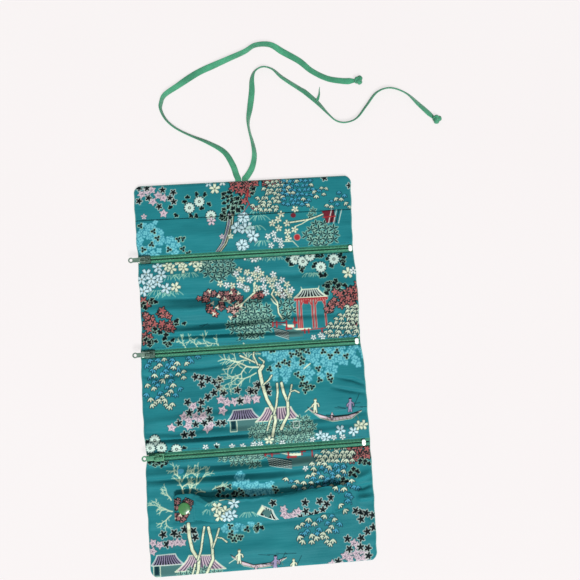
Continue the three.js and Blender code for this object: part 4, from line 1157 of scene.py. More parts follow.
# soft ridges and valleys in the pocket fronts: a line, its height, and how far it spreads
creases = [
    ([(-95, 57), (-50, 55), (0, 56), (45, 58)], 4.2, 4.2), ([(-80, 66), (-55, 65), (-20, 64)], -3.2, 2.8),
    ([(-68, 43), (-20, 42), (30, 45), (75, 44)], -3.8, 2.7), ([(-72, 37), (-30, 36.5), (5, 38)], 3.4, 2.2),
    ([(-74, 33.5), (-40, 33), (10, 32), (60, 31)], -3.2, 1.7), ([(-70, 30), (-20, 29), (40, 28)], 1.8, 1.8),
    ([(10, 82), (40, 80), (70, 84)], -2.0, 3.5), ([(-75, 84), (-30, 80), (5, 84)], 2.3, 5.6),
    ([(40, 70), (70, 66), (93, 70)], 2.1, 4.2), ([(-70, 7), (-45, 6), (-10, 8)], -3.0, 2.8),
    ([(-95, 2), (-80, -1), (-60, 1)], -2.6, 2.1), ([(-95, -46), (-68, -48), (-40, -45), (5, -46)], -3.6, 3.0),
    ([(-95, -52.5), (-61, -53.7), (-40, -54), (-8, -53)], -3.6, 1.1),
    ([(-90, -38), (-50, -36), (0, -35)], 2.6, 3.5),
    ([(-90, -57), (-30, -57), (30, -56), (85, -54)], 3.0, 2.8),
    ([(70, -10), (84, -13), (94, -18)], -2.9, 1.8), ([(66, -18), (80, -22), (94, -25)], -2.4, 1.8),
    ([(72, -3), (94, -6)], 2.3, 2.8), ([(10, -46), (50, -44), (93, -41)], -3.2, 2.8),
    ([(-30, -10), (20, -14), (60, -8)], 1.9, 6.3),
    ([(-92, -81), (-40, -81.7), (20, -80.7), (75, -78.5)], 3.2, 2.6),
    ([(-92, -90), (-50, -89.7), (10, -90.7), (60, -88)], 3.3, 2.8),
    ([(-93, -75), (-30, -76), (50, -74)], -2.4, 1.7),
    ([(-94, -85.5), (-60, -85.5), (-20, -85.5), (20, -85)], -1.8, 1.5),
    ([(78, -104), (86, -104), (94, -102)], -4.0, 1.8), ([(78, -97), (94, -92)], 2.9, 2.8),
    ([(77, -120), (86, -124), (93, -130)], -2.6, 2.1), ([(80, -112), (94, -112)], 2.5, 2.4),
    ([(-80, -150), (-20, -147), (40, -150)], 1.5, 6.3), ([(-92, -126), (-40, -128), (50, -126)], -1.3, 2.4),
    ([(-60, 120), (-10, 117), (50, 121)], 1.7, 5.6), ([(-70, 150), (0, 147), (70, 151)], 1.1, 6.3),
]
# uneven waves over all the cloth: height, size across and along, and seed
waves = [(0.3, 24, 8, 5), (0.16, 10, 5, 6)]
pucker = {"height": 0.6, "reach": 9.0, "size": 4.5, "seed": 7}  # beside the side seams


def sideSeam(y, side):  # from the middle line to a side seam
    places, widths = zip(*sideSeams[side])
    i = np.clip(np.searchsorted(places, y) - 1, 0, len(places) - 2)
    places, widths = np.array(places, float), np.array(widths, float)
    t = (y - places[i]) / (places[i + 1] - places[i])
    width = widths[i] + (widths[i + 1] - widths[i]) * ease(t)
    inset = np.clip(np.abs(y) - roll["halfLength"] + roll["corner"], 0, roll["corner"])
    rounding = roll["corner"] - np.sqrt(roll["corner"] ** 2 - inset ** 2)
    shift = 0.6 if side == "left" else 2.0
    return width - rounding + roll["wave"] * np.sin(0.31 * y + shift) * np.cos(0.083 * y)


def acrossRoll(u, y, inset=0.0):  # from one side seam to the other
    left, right = sideSeam(y, "left") - inset, sideSeam(y, "right") - inset
    return u * (left + right) - left


def fromSide(x, y):
    return np.where(x > 0, sideSeam(y, "right") - x, sideSeam(y, "left") + x)


def edgeShare(x, y, toEnd):  # one over the roll, rounding down to nought at the seam
    away = fromSide(x, y)
    if toEnd:
        away = np.minimum(away, roll["halfLength"] - np.abs(y))
    return np.sqrt(1 - (1 - np.clip(away / roll["edgeRound"], 0, 1)) ** 2)


def toSeam(z, share):  # comes down to the seam as the share goes to nought
    return roll["seam"] + (z - roll["seam"]) * share


def softNoise(x, y, cellX, cellY, seed):  # uneven waves from -1 to 1
    grid = np.random.default_rng(seed).uniform(-1, 1, (64, 64))
    u, v = x / cellX + 200, y / cellY + 200
    column, row = np.floor(u).astype(int), np.floor(v).astype(int)
    u, v = ease(u - column), ease(v - row)
    pick = lambda i, j: grid[(row + j) % 64, (column + i) % 64]
    return (pick(0, 0) * (1 - u) + pick(1, 0) * u) * (1 - v) + (pick(0, 1) * (1 - u) + pick(1, 1) * u) * v


def nearLine(x, y, points):  # how far each point is from a line, and how far along the line it is
    best, share = np.full(x.shape, 1e9), np.zeros(x.shape)
    for i, (start, end) in enumerate(zip(points, points[1:])):
        t, away = nearSegment(x, y, start, end)
        nearer = away < best
        best, share = np.where(nearer, away, best), np.where(nearer, (i + t) / (len(points) - 1), share)
    return best, share


def relief(x, y):  # how far the cloth stands up from its flat shape
    rise = sum(height * softNoise(x, y, *cells) for height, *cells in waves)
    for points, height, spread in creases:
        away, share = nearLine(x, y, points)
        rise += height * np.exp(-(away / spread) ** 2) * (0.35 + 0.65 * np.sin(math.pi * share))
    gathers = softNoise(np.sign(x) * 40, y, 50, pucker["size"], pucker["seed"])
    return rise + pucker["height"] * np.exp(-fromSide(x, y) / pucker["reach"]) * gathers


def turnUnder(s, low, high, lowLip, highLip):  # the cloth's own length, turned under round its lips
    radius = roll["lipRadius"]
    y, drop = s.copy(), np.zeros(s.shape)
    for lip, edge, way in ((lowLip, low, 1), (highLip, high, -1)):
        if lip:
            past = radius - way * (s - edge)
            angle = np.clip(past / radius, 0, math.pi)
            under = np.clip(past - math.pi * radius, 0, None)
            y = np.where(past > 0, edge + way * (radius - radius * np.sin(angle) + under), y)
            drop = np.where(past > 0, radius * (1 - np.cos(angle)), drop)
    return y, drop


def dye(piece, loom, x, y):  # takes the thread colours from the loom
    column = np.clip((x - loom.left) / loom.step, 0, loom.raised.shape[1] - 1.01)
    row = np.clip((y - loom.low) / loom.step, 0, loom.raised.shape[0] - 1.01)
    i, j = column.astype(int), row.astype(int)
    u, v = column - i, row - j

    def pick(cloth):
        flat = cloth.reshape(*cloth.shape[:2], -1)
        w = [((1 - u) * (1 - v))[:, None], (u * (1 - v))[:, None], ((1 - u) * v)[:, None], (u * v)[:, None]]
        return w[0] * flat[j, i] + w[1] * flat[j, i + 1] + w[2] * flat[j + 1, i] + w[3] * flat[j + 1, i + 1]

    raised = pick(loom.raised)[:, 0]
    colour = np.concatenate([linear(pick(loom.ink)), np.ones((len(x), 1))], axis=1)
    layer = piece.data.color_attributes.new("silk", "FLOAT_COLOR", "POINT")
    layer.data.foreach_set("color", colour.astype(np.float32).ravel())
    note(piece, "raised", "FLOAT", raised)
    noteCloth(piece, x, y, 0)
    return raised


def brocadeFinish():
    finish = Finish("brocade")
    raised = finish.attribute("raised", "Fac")
    along = finish.attribute("cloth", "Vector")
    worn = finish.attribute("worn", "Fac")
    spot = finish.objectPlace()
    clouding = finish.ramp(finish.noise(spot, 26.0, 3.0), 0.3, 0.7)
    slub = finish.node("ShaderNodeMapping", {}, {"Vector": along, "Scale": (0.05, 1.1, 1.0)})
    slub = finish.ramp(finish.noise(slub, 1.0, 3.0), 0.35, 0.7)
    shaded = finish.blend((0.28 - 0.2 * raised) * (1 - clouding), finish.attribute("silk", "Color"),
                          paint(10, 70, 84))
    shaded = finish.blend(0.14 * slub * (1 - raised), shaded, paint(70, 168, 172))
    warp, weft = finish.ripple(along, 0.72, "X", 0.4), finish.ripple(along, 0.6, "Y", 0.7)
    stitch = finish.ripple(along, 0.5, "DIAGONAL", 0.8)
    shaded = finish.blend(0.1 * raised * (1 - stitch), shaded, paint(30, 60, 66))
    shaded = finish.blend(0.14 * (1 - raised) * weft, shaded, paint(12, 84, 96))
    # painted highlight: the cloth turns pale along the seam's rim
    shaded = finish.blend(0.8 * worn, shaded, paint(160, 226, 212))
    height = 0.35 * warp * weft + 0.5 * raised * stitch
    return finish.surface(BaseColor=shaded, Roughness=0.5 + 0.15 * raised - 0.08 * slub, IOR=1.15,
                          Normal=finish.bump(height, 0.00012, 0.8))


brocade = brocadeFinish()
below = {which: line - roll["reveal"] for which, line in zipperLines.items()}
above = {which: line + roll["reveal"] for which, line in zipperLines.items()}
# each front's low and high edge, which of these are lips, and how far the cloth puffs up
fronts = {
    "flapFacing": {
        "low": roll["facingEnd"], "high": roll["halfLength"], "puff": 0.5, "nodes": ["flap_facing"],
        "body": "upper_panel"},
    "slipPocket": {
        "low": above["first"], "high": roll["slipMouth"], "lowLip": True, "highLip": True, "puff": 0.7,
        "nodes": ["slip_pocket"], "body": "upper_panel"},
    "firstPocket": {
        "low": above["second"], "high": below["first"], "lowLip": True, "highLip": True, "puff": 1.7,
        "nodes": ["first_pocket_upper", "first_pocket_lower"], "fold": "upper"},
    "secondPocket": {
        "low": above["third"], "high": below["second"], "lowLip": True, "highLip": True, "puff": 1.5,
        "nodes": ["second_pocket", "second_pocket_hem"], "fold": "lower"},
    "thirdPocket": {
        "low": -roll["halfLength"], "high": below["third"], "highLip": True, "puff": 0.8,
        "nodes": ["third_pocket"], "body": "lower_panel"},
}
frontForm = {"hump": 0.6, "lipCalm": 0.85, "lipReach": 2.5, "sink": 0.8, "halfWidth": 97.0}
facingForm = {"soft": 6.0, "calm": 0.6}
# the slip pocket's mouth stands a little open
mouth = {"start": 122.0, "length": 12.0, "open": 0.8, "halfWidth": 95.0}
# cloth that makes room for the ring bar when the roll is folded, and cloth that lies flat under it
barRoom = {"low": -19.0, "high": 18.0, "soft": 6.0, "share": 0.5}
barRest = {"left": -77.0, "right": 83.0, "low": -124.0, "high": -95.5, "soft": 3.5}


def settle(piece, part):  # moves with its panel, or, where the roll folds, keeps its place with its transform baked in
    if "fold" in part:
        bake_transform(piece)
    else:
        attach(piece, part["body"])


def keepAbove(z, y):  # the cloth lies on the tapes and the lining under it
    near = np.zeros(y.shape)
    for line in zipperLines.values():
        near = np.maximum(near, ease((roll["tapeReach"] - np.abs(y - line)) / roll["tapeStep"]))
    floor = roll["overLining"] + (roll["overTape"] - roll["overLining"]) * near
    return floor + roll["give"] * np.logaddexp(0, (z - floor) / roll["give"])


def frontHeight(name, x, y):
    part = fronts[name]
    share = np.clip((y - part["low"]) / (part["high"] - part["low"]), 0, 1)
    hump = np.sin(math.pi * share) ** frontForm["hump"]
    if not part.get("lowLip"):
        hump = np.where(share < 0.5, 1, hump)
    calm = np.ones(x.shape)
    for end in ("low", "high"):
        if part.get(end + "Lip"):
            calm *= 1 - frontForm["lipCalm"] * np.exp(-np.abs(y - part[end]) / frontForm["lipReach"])
    base, rise = roll["front"], relief(x, y)
    if name == "flapFacing":
        base, out = roll["facing"], np.clip((y - roll["slipMouth"]) / facingForm["soft"], 0, 1)
        calm, hump = calm * out * facingForm["calm"], hump * out
    elif name == "slipPocket":
        gape = np.clip((y - mouth["start"]) / mouth["length"], 0, 1) ** 2
        gape = gape * (1 - (x / mouth["halfWidth"]) ** 4)
        base = base + mouth["open"] * gape * (0.6 + 0.4 * np.sin(0.06 * x + 1))
    elif name == "secondPocket":
        near = ease((barRoom["high"] - y) / barRoom["soft"]) * ease((y - barRoom["low"]) / barRoom["soft"])
        rise, hump = rise - near * np.maximum(rise, 0), hump * (1 - barRoom["share"] * near)
    elif name == "thirdPocket":
        inside = np.ones(x.shape)
        for away in (x - barRest["left"], barRest["right"] - x, y - barRest["low"], barRest["high"] - y):
            inside *= np.clip(away / barRest["soft"], 0, 1)
        hump, calm = hump * (1 - inside), calm * (1 - inside)
    puffed = base + part["puff"] * hump * (1 - (x / frontForm["halfWidth"]) ** 6)
    z = puffed + calm * np.where(rise > 0, rise, frontForm["sink"] * rise)
    return z if name == "flapFacing" else keepAbove(z, y)


def paintRimHighlight(piece, share):  # the seam's rim is made pale: a painted highlight along the edge
    note(piece, "worn", "FLOAT", np.clip(1 - share / roll["rimHighlightShare"], 0, 1))


def makeFront(name, loom):
    part = fronts[name]
    turned = (math.pi - 1) * roll["lipRadius"] + roll["hem"]
    first = part["low"] - (turned if part.get("lowLip") else 0)
    last = part["high"] + (turned if part.get("highLip") else 0)
    columns, rows = round(2 * roll["halfWidth"] / roll["points"]), round((last - first) / roll["points"])
    piece, u, v = addGrid(name, columns, rows)
    s = first + v * (last - first)
    y, drop = turnUnder(s, part["low"], part["high"], part.get("lowLip"), part.get("highLip"))
    x = acrossRoll(u, y)
    raised = dye(piece, loom, x, s)
    share = edgeShare(x, y, name in ("flapFacing", "thirdPocket"))
    # painted highlight along the seam's rim
    paintRimHighlight(piece, share)
    z = frontHeight(name, x, y) - drop + roll["threadRise"] * raised * (drop == 0)
    place(piece, x, y, toSeam(z, share))
    dress(piece, brocade, nodes=part["nodes"])
    (last - first) * mm
    settle(piece, part)
    print(name, "woven and sewn:", len(piece.data.polygons), "faces")


backWave = {"height": 0.12, "cells": (22, 14, 9)}


def makeBack(name, low, high, nodes, loom):
    columns = round(2 * roll["halfWidth"] / roll["backPoints"])
    rows = round((high - low) / roll["backPoints"])
    piece, u, v = addGrid(name, columns, rows, faceDown=True)
    y = low + v * (high - low)
    x = acrossRoll(u, y)
    raised = dye(piece, loom, -x, y)
    share = edgeShare(x, y, True)
    # painted highlight along the seam's rim
    paintRimHighlight(piece, share)
    wave = backWave["height"] * (1 + softNoise(x, y, *backWave["cells"])) - roll["threadRise"] * raised
    place(piece, x, y, toSeam(roll["back"] + wave, share))
    dress(piece, brocade, nodes=nodes)
    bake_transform(piece)


def liningFinish():
    finish = Finish("lining")
    spot = finish.objectPlace()
    _, shade = finish.mottle(60.0, 3.0, 0.3, 0.7, (54, 142, 118), (72, 164, 138))
    weave = finish.ripple(spot, 900.0, "X") * finish.ripple(spot, 900.0, "Y")
    return finish.surface(BaseColor=shade, Roughness=0.6, Normal=finish.bump(weave, 0.0001, 0.5))


def waddingFinish():
    finish = Finish("wadding")
    tuft = finish.noise(finish.objectPlace(), 420.0, 4.0)
    shade = finish.blend(tuft, paint(84, 148, 124), paint(104, 170, 144))
    return finish.surface(BaseColor=shade, Roughness=0.95, Normal=finish.bump(tuft, 0.0004, 0.8))


def spanOf(nodes):  # the box round some CAD nodes, in millimetres
    boxes = [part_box(node) for node in nodes]
    low = [min(box[0][i] for box in boxes) / mm for i in range(3)]
    return low, [max(box[1][i] for box in boxes) / mm for i in range(3)]


insideForm = {
    "inset": 3.0, "columns": 60, "points": 2.5, "wave": 0.08, "cells": (9, 9, 12), "thick": 1.4, "fill": 0.4,
}


def makeInside(name, nodes, finish, slot, part):  # a lining, or a layer of wadding
    low, high = spanOf(nodes)
    end = roll["halfLength"] - insideForm["inset"] - 1
    piece, u, v = addGrid(name, insideForm["columns"], round((high[1] - low[1]) / insideForm["points"]))
    y = np.clip(low[1] + v * (high[1] - low[1]), -end, end)
    x = acrossRoll(u, y, insideForm["inset"])
    place(piece, x, y, 0.5 * (low[2] + high[2]) + insideForm["wave"] * softNoise(x, y, *insideForm["cells"]))
    if slot == "padding":
        thick = insideForm["thick"] * mm
        with reworked(piece) as bm:
            bmesh.ops.solidify(bm, geom=bm.faces[:], thickness=thick)
            bmesh.ops.translate(bm, verts=bm.verts, vec=(0, 0, 0.5 * thick))
    else:
        flat = (2 * (roll["halfWidth"] - insideForm["inset"]) * mm, (high[1] - low[1]) * mm)
    dress(piece, finish, nodes=nodes)
    settle(piece, part)


def makeCloth():
    halfWidth, halfLength = roll["halfWidth"] + roll["margin"][0], roll["halfLength"] + roll["margin"][1]
    loom = Loom(-halfWidth, halfWidth, -halfLength, halfLength)
    for weave in (weaveFlap, weaveFirst, weaveSecond, weaveThird):
        weave(loom)
    print("brocade woven")
    for name in fronts:
        makeFront(name, loom)
    makeBack("backUpper", 0, roll["halfLength"], ["upper_cover", "middle_cover"], loom)
    makeBack("backLower", -roll["halfLength"], 0, ["lower_cover", "middle_cover"], loom)
    lining, wadding = liningFinish(), waddingFinish()
    firstLinings = ["first_lining_upper", "first_lining_lower"]
    makeInside("firstLining", firstLinings, lining, "lining", {"fold": "upper"})
    makeInside("secondLining", ["second_lining"], lining, "lining", {"fold": "lower"})
    makeInside("thirdLining", ["third_lining"], lining, "lining", {"body": "lower_panel"})
    makeInside("upperWadding", ["upper_padding"], wadding, "padding", {"fold": "upper"})
    makeInside("middleWadding", ["middle_padding"], wadding, "padding", {"fold": "lower"})
    makeInside("lowerWadding", ["lower_padding"], wadding, "padding", {"body": "lower_panel"})
    print("cloth, linings and wadding made")


makeCloth()

zipper = {
    "tapeHeight": 4.02, "tapeInner": 0.5, "tapeOuter": 10.6, "tapeHalf": 94.2, "tapeInset": 0.3,
    "tapeColumns": 380, "tapeRows": 24, "ribHeight": 0.05, "ribs": 2.4, "coilPitch": 1.2, "coilWire": 0.3,
    "coilMiddle": 1.23, "coilHalf": 0.47, "coilTall": 0.44, "coilHeight": 5.25, "coilStart": -88.6,
    "coilEnd": 87.8, "wireSides": 4, "loopSides": 12, "slant": 0.2, "grooveShade": 1.1,
}
edges = {"flat": 0.02, "sharp": 0.6, "shine": 0.7}  # angles in radians, for metal parts
zipBodies = {"first": "upper_panel", "second": "middle_panel", "third": "lower_panel"}


def tapeFinish():
    finish = Finish("zipTape")
    along = finish.attribute("cloth", "Vector")
    ribs = finish.ripple(along, 0.42, "Y", 0.3)
    knit = finish.ripple(along, 0.7, "X", 1.0)
    _, shade = finish.mottle(70.0, 3.0, 0.3, 0.7, (46, 132, 108), (62, 150, 124))
    shade = finish.blend(0.3 * (1 - ribs), shade, paint(28, 98, 78))
    return finish.surface(BaseColor=shade, Roughness=0.7 + 0.15 * knit, SheenWeight=0.2, SheenRoughness=0.5,
                          Normal=finish.bump(0.7 * ribs + 0.3 * knit, 0.0002, 0.7))


def coilFinish():
    finish = Finish("zipCoil")
    _, shade = finish.mottle(160.0, 2.0, 0.3, 0.7, (88, 166, 124), (116, 194, 152))
    grooveShade = finish.attribute("grooveShade", "Fac")  # painted shade: darker where the loops hook together
    shade = finish.blend(0.35 * grooveShade, shade, paint(62, 134, 102))
    grazes = finish.noise(finish.objectPlace(), 2600.0, 2.0)
    return finish.surface(BaseColor=shade, Roughness=0.3 + 0.2 * grazes,
                          Normal=finish.bump(grazes, 0.00004, 0.4))


def enamelFinish(name, dark, light):
    finish = Finish(name)
    patchy, shade = finish.mottle(240.0, 4.0, 0.35, 0.7, dark, light)
    rubbed = finish.ramp(finish.noise(finish.objectPlace(), 900.0, 3.0), 0.58, 0.72)
    shade = finish.blend(0.45 * rubbed, shade, paint(176, 190, 182))
    rough = 0.34 - 0.1 * rubbed + 0.1 * patchy
    return finish.surface(BaseColor=shade, Metallic=0.55 + 0.3 * rubbed, Roughness=rough,
                          Normal=finish.bump(patchy, 0.00006, 0.4))


def metalFinish(name, colour, roughness):
    finish = Finish(name)
    drawn = finish.node("ShaderNodeMapping", {}, {"Vector": finish.objectPlace(), "Scale": (1.0, 9.0, 9.0)})
    scratches = finish.noise(drawn, 500.0, 4.0)
    shade = finish.blend(0.2 * scratches, paint(*colour), paint(150, 154, 150))
    rough = roughness + 0.15 * scratches
    return finish.surface(BaseColor=shade, Metallic=0.35 + 0.2 * scratches, Roughness=rough,
                          Normal=finish.bump(scratches, 0.00005, 0.5))


def capFinish():
    finish = Finish("snapCap")
    patchy = finish.noise(finish.objectPlace(), 300.0, 3.0)
    shade = finish.blend(finish.ramp(patchy, 0.3, 0.7), paint(32, 104, 46), paint(50, 130, 60))
    return finish.surface(BaseColor=shade, Roughness=0.22 + 0.16 * patchy, CoatWeight=0.5 - 0.2 * patchy,
                          Normal=finish.bump(patchy, 0.00008, 0.3))


def pieceName(node):
    first, *rest = node.split("_")
    return first + "".join(word.capitalize() for word in rest)


def polish(node, finish, body, bevel):  # the CAD's own shape with its edges rounded
    bm = bmesh.new()
    bm.from_mesh(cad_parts[node].data)
    bmesh.ops.remove_doubles(bm, verts=bm.verts, dist=1e-6)
    bmesh.ops.dissolve_limit(bm, angle_limit=edges["flat"], verts=bm.verts, edges=bm.edges)
    sharp = [e for e in bm.edges if len(e.link_faces) == 2 and e.calc_face_angle(0) > edges["sharp"]]
    bmesh.ops.bevel(bm, geom=sharp, offset=bevel * mm, offset_type="OFFSET", affect="EDGES", segments=2,
                    profile=0.5, material=-1, clamp_overlap=True)
    bmesh.ops.triangulate(bm, faces=[f for f in bm.faces if len(f.verts) > 4])
    piece = addPiece(pieceName(node), bm)
    piece.data.set_sharp_from_angle(angle=edges["shine"])
    piece.modifiers.new("evenShine", "WEIGHTED_NORMAL").keep_sharp = True
    return dress(piece, finish, body, [node])


def makeTape(which, side, finish):
    way = 1 if side == "upper" else -1
    wide = zipper["tapeOuter"] - zipper["tapeInner"]
    piece, u, v = addGrid(which + "Tape" + side.capitalize(), zipper["tapeColumns"], zipper["tapeRows"])
    away = zipper["tapeInner"] + (v if way > 0 else 1 - v) * wide
    y = zipperLines[which] + way * away
    x = acrossRoll(u, y, zipper["tapeInset"])
    z = zipper["tapeHeight"] + zipper["ribHeight"] * np.cos(zipper["ribs"] * away)
    place(piece, x, y, toSeam(z, edgeShare(x, y, False)))
    noteCloth(piece, x, away, 0)
    node = f"{which}_zip_tape_{side}"
    dress(piece, finish, zipBodies[which], [node])


def makeCoil(which, side, finish):  # a nylon wire wound in loops, which hook into the other side's
    way = 1 if side == "upper" else -1
    start = zipper["coilStart"] + (0 if way > 0 else zipper["coilPitch"] / 2)
    bm = bmesh.new()
    outward = Matrix.Translation((0, zipper["coilHalf"] * mm, 0))
    bmesh.ops.create_circle(bm, segments=zipper["wireSides"], radius=zipper["coilWire"] * mm, matrix=outward)
    bmesh.ops.spin(bm, geom=bm.verts[:] + bm.edges[:], axis=(1, 0, 0), cent=(0, 0, 0), angle=2 * math.pi,
                   steps=zipper["loopSides"], use_merge=True)
    bmesh.ops.remove_doubles(bm, verts=bm.verts, dist=1e-7)
    bmesh.ops.scale(bm, vec=(1, 1, zipper["coilTall"] / zipper["coilHalf"]), verts=bm.verts)
    lean = Matrix(((1, way * zipper["slant"], 0, 0), (0, 1, 0, 0), (0, 0, 1, 0), (0, 0, 0, 1)))
    bmesh.ops.transform(bm, matrix=lean, verts=bm.verts)
    middle = zipperLines[which] + way * zipper["coilMiddle"]
    bmesh.ops.translate(bm, vec=(start * mm, middle * mm, zipper["coilHeight"] * mm), verts=bm.verts)
    bmesh.ops.recalc_face_normals(bm, faces=bm.faces)
    piece = addPiece(which + "Coil" + side.capitalize(), bm)
    # painted shade mask: strongest next to the middle line, where the loops hook together, and gone 1.1 mm
    # from it
    away = np.abs(places(piece)[:, 1] / mm - zipperLines[which])
    note(piece, "grooveShade", "FLOAT", np.clip(1 - away / zipper["grooveShade"], 0, 1))
    loops = piece.modifiers.new("loops", "ARRAY")
    loops.use_relative_offset, loops.use_constant_offset = False, True
    loops.constant_offset_displace = (zipper["coilPitch"] * mm, 0, 0)
    loops.count = int((zipper["coilEnd"] - start) / zipper["coilPitch"]) + 1
    dress(piece, finish, zipBodies[which], [f"{which}_zip_coil_{side}"])


def makeZippers():
    tape, coil = tapeFinish(), coilFinish()
    grey = enamelFinish("zipEnamel", (80, 108, 95), (118, 142, 128))
    green = enamelFinish("zipEnamelGreen", (54, 120, 90), (84, 146, 112))
    dark = enamelFinish("zipEnamelDark", (46, 74, 64), (76, 104, 92))
    white = metalFinish("stopMetal", (240, 244, 241), 0.45)
    for which, body in zipBodies.items():
        for side in ("upper", "lower"):
            makeTape(which, side, tape)
            makeCoil(which, side, coil)
            polish(f"{which}_zip_top_stop_{side}", white, body, 0.25)
        polish(which + "_zip_bottom_stop", white, body, 0.3)
        slider, pull = (green, green) if which == "third" else (dark, grey)
        polish(which + "_zip_slider", slider, which + "_slider", 0.16)
        polish(which + "_zip_pull", pull, which + "_pull", 0.14)
        print(which, "zipper made")


makeZippers()

ringBar = {
    "left": -72.0, "right": 75.0, "end": 0.4, "y": -108.3, "bow": 4.0, "width": 20.6, "height": 8.3,
    "base": 5.5, "swell": 18.0, "square": 0.8, "tabBase": 8.8, "tabWidth": 23.0, "tabHeight": 1.6,
    "tabLength": 13.5, "tabRound": 4.0, "sewnHeight": 3.2, "sewnWidth": 20.0, "sewnTaper": 16.0, "pinch": 6.0,
    "pinched": 0.6, "columns": 98, "around": 40, "finer": 2, "weld": 2e-5, "fill": 0.85, "heldTab": 2.0,
    "heldEnd": 4.0, "heldUnder": 0.38, "frames": 20, "mostMove": 1.3, "offTable": 0.3, "patternShift": -2.6,
    "topHalf": 18.0,
}
barCloth = {  # the cloth simulation's settings
    "mass": 0.02, "quality": 8, "tension_stiffness": 6, "compression_stiffness": 6, "bending_stiffness": 0.05,
    "shrink_min": -0.05, "use_pressure": True, "uniform_pressure_force": 5.0,
}


def barSection(x):  # middle line, base, height and width of the bar at x
    filled = ease((x - ringBar["left"] - ringBar["tabLength"]) / ringBar["swell"])
    sewn = ease((x - ringBar["right"] + ringBar["sewnTaper"]) / ringBar["sewnTaper"])
    along = 2 * (x - ringBar["left"]) / (ringBar["right"] - ringBar["left"]) - 1
    short = np.clip(ringBar["tabRound"] - (x - ringBar["left"]), 0, ringBar["tabRound"])
    rounding = ringBar["tabRound"] - np.sqrt(ringBar["tabRound"] ** 2 - short ** 2)
    mix = lambda a, b, t: a + (b - a) * t
    height = mix(mix(ringBar["tabHeight"], ringBar["height"], filled), ringBar["sewnHeight"], sewn)
    height = height * (1 - ringBar["pinched"] * ease((x - ringBar["right"]) / ringBar["pinch"] + 1))
    width = mix(mix(ringBar["tabWidth"], ringBar["width"], filled), ringBar["sewnWidth"], sewn) - 2 * rounding
    middle = ringBar["y"] - ringBar["bow"] * filled * (1 - along ** 2)
    return middle, mix(ringBar["tabBase"], ringBar["base"], filled), height, width


def puffUp(piece, held):  # cloth simulation with air inside, and the held points pinned
    pins = piece.vertex_groups.new(name="held")
    pins.add([int(i) for i in np.flatnonzero(held)], 1.0, "REPLACE")
    before = places(piece)
    cloth = piece.modifiers.new("cloth", "CLOTH")
    cloth.settings.vertex_group_mass = "held"
    for setting, value in barCloth.items():
        setattr(cloth.settings, setting, value)
    cloth.settings.effector_weights.gravity = 0
    cloth.point_cache.frame_end = ringBar["frames"]
    for step in range(1, ringBar["frames"] + 1):
        scene.frame_set(step)
    flat = np.empty(before.size, np.float32)
    piece.evaluated_get(bpy.context.evaluated_depsgraph_get()).data.vertices.foreach_get("co", flat)
    piece.modifiers.remove(cloth)
    piece.vertex_groups.remove(pins)
    scene.frame_set(1)
    moved = flat.reshape(-1, 3) / mm - before / mm
    length = np.maximum(np.linalg.norm(moved, axis=1), 1e-6)
    print("ring bar puffed up, at most", round(float(length.max()), 2), "mm")
    spots = before / mm + moved * np.minimum(1, ringBar["mostMove"] / length)[:, None]
    lowest = np.minimum(before[:, 2] / mm, ringBar["base"] + ringBar["offTable"])
    spots[:, 2] = np.maximum(spots[:, 2], lowest)
    return spots


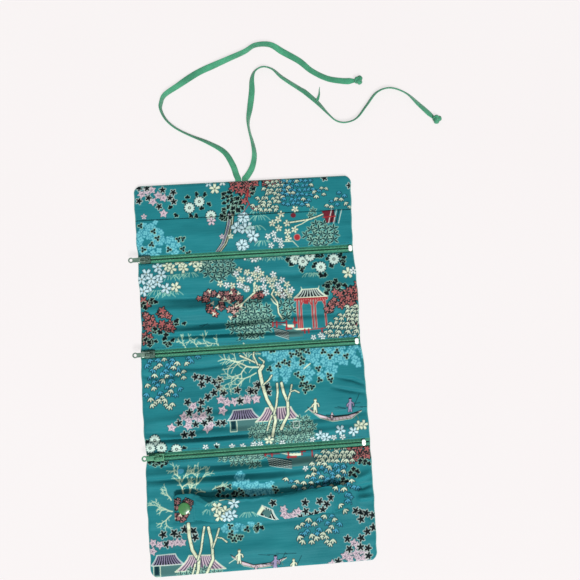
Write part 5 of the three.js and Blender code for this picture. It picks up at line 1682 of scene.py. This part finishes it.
def makeRingBar():
    loom = Loom(-80, 80, -140, -80)
    weaveBar(loom)
    columns, around = ringBar["columns"], ringBar["around"]
    piece, u, v = addGrid("ringBar", columns, around)
    column, row = np.rint(u * columns).astype(int), np.rint(v * around).astype(int)
    closing = 1 - 0.999 * ((column == 0) | (column == columns))  # both ends are pressed shut
    x = ringBar["left"] + ringBar["end"] + u * (ringBar["right"] - ringBar["left"] - ringBar["end"])
    middle, base, height, width = barSection(x)
    turn = 2 * math.pi * v  # the seam runs along the underside
    y = middle + 0.5 * width * blunt(np.sin(turn), ringBar["square"])
    z = base + 0.5 * height * (1 - blunt(np.cos(turn), ringBar["square"]) * closing)
    place(piece, x, y, z)
    across, upward = np.zeros((columns + 1, around + 1)), np.zeros((columns + 1, around + 1))
    across[column, row], upward[column, row] = y, z
    steps = [np.diff(way, axis=1, prepend=way[:, :1]) for way in (across, upward)]
    run = np.cumsum(np.hypot(*steps), axis=1)
    arc = run[:, around // 2][:, None] - run
    noteCloth(piece, x, middle + ringBar["patternShift"] + arc[column, row], 0)
    held = np.abs(v - 0.5) > ringBar["heldUnder"]
    held |= x < ringBar["left"] + ringBar["tabLength"] + ringBar["heldTab"]
    held |= x > ringBar["right"] - ringBar["heldEnd"]
    place(piece, *puffUp(piece, held).T)
    finer = piece.modifiers.new("finer", "SUBSURF")
    finer.levels = finer.render_levels = ringBar["finer"]
    piece.data = bpy.data.meshes.new_from_object(piece.evaluated_get(bpy.context.evaluated_depsgraph_get()))
    piece.modifiers.clear()
    spots = np.empty(3 * len(piece.data.vertices), np.float32)
    piece.data.attributes["cloth"].data.foreach_get("vector", spots)
    piece.data.attributes.remove(piece.data.attributes["cloth"])
    onCloth = spots.reshape(-1, 3).astype(float)
    raised = dye(piece, loom, onCloth[:, 0], onCloth[:, 1])
    x, y, z = places(piece).T / mm
    z += roll["threadRise"] * raised * (np.abs(onCloth[:, 1] - ringBar["y"]) < ringBar["topHalf"])
    # the ring bar gets no painted rim highlight
    note(piece, "worn", "FLOAT", 0 * x)
    place(piece, x, y, z)
    with reworked(piece) as bm:
        bmesh.ops.remove_doubles(bm, verts=bm.verts, dist=ringBar["weld"])
    piece.data.shade_smooth()
    dress(piece, brocade, "ring_bar", ["ring_bar_cover", "ring_bar_stuffing"])
    print("ring bar made:", len(piece.data.polygons), "faces")


def makeSnap():
    nickel = metalFinish("snapMetal", (206, 208, 204), 0.28)
    polish("snap_cap", capFinish(), "ring_bar", 0.2)
    polish("snap_socket", nickel, "ring_bar", 0.2)
    polish("snap_stud", nickel, "lower_panel", 0.2)
    polish("snap_post", nickel, "lower_panel", 0.15)
    print("snap made")


makeRingBar()
makeSnap()

# sewing beside each pocket edge, and what each row of stitches moves with
seams = {"inset": 1.5, "length": 1.9, "pitch": 2.7, "thread": 0.2, "flat": 0.7, "rise": 0.12, "half": 91.5}
seamRows = [
    ("slipPocket", "low", "upper_panel"), ("firstPocket", "low", "middle_panel"),
    ("firstPocket", "high", "upper_panel"), ("secondPocket", "low", "lower_panel"),
    ("secondPocket", "high", "middle_panel"), ("thirdPocket", "high", "lower_panel"),
]


def threadFinish():
    finish = Finish("thread")
    spot = finish.objectPlace()
    twist = finish.ripple(spot, 900.0, "DIAGONAL")
    shade = finish.blend(twist, paint(20, 88, 96), paint(44, 132, 138))
    return finish.surface(BaseColor=shade, Roughness=0.45 + 0.2 * twist,
                          Normal=finish.bump(twist, 0.00008, 0.6))


def makeSeams():
    finish = threadFinish()
    count = int(2 * seams["half"] / seams["pitch"])
    stitch = Matrix.Diagonal((seams["length"] / 2 * mm, seams["thread"] * mm,
                              seams["thread"] * seams["flat"] * mm, 1))
    for name, end, body in seamRows:
        x = -seams["half"] + seams["pitch"] * (np.arange(count) + 0.5)
        y = np.full(count, fronts[name][end] + (seams["inset"] if end == "low" else -seams["inset"]))
        z = toSeam(frontHeight(name, x, y), edgeShare(x, y, False)) + seams["rise"]
        bm = bmesh.new()
        for spot in zip(x, y, z):
            shape = Matrix.Translation(Vector(spot) * mm) @ stitch
            bmesh.ops.create_icosphere(bm, subdivisions=1, radius=1.0, matrix=shape)
        dress(addPiece(name + "Seam" + end.capitalize(), bm), finish, body)
    print("seams sewn")


makeSeams()
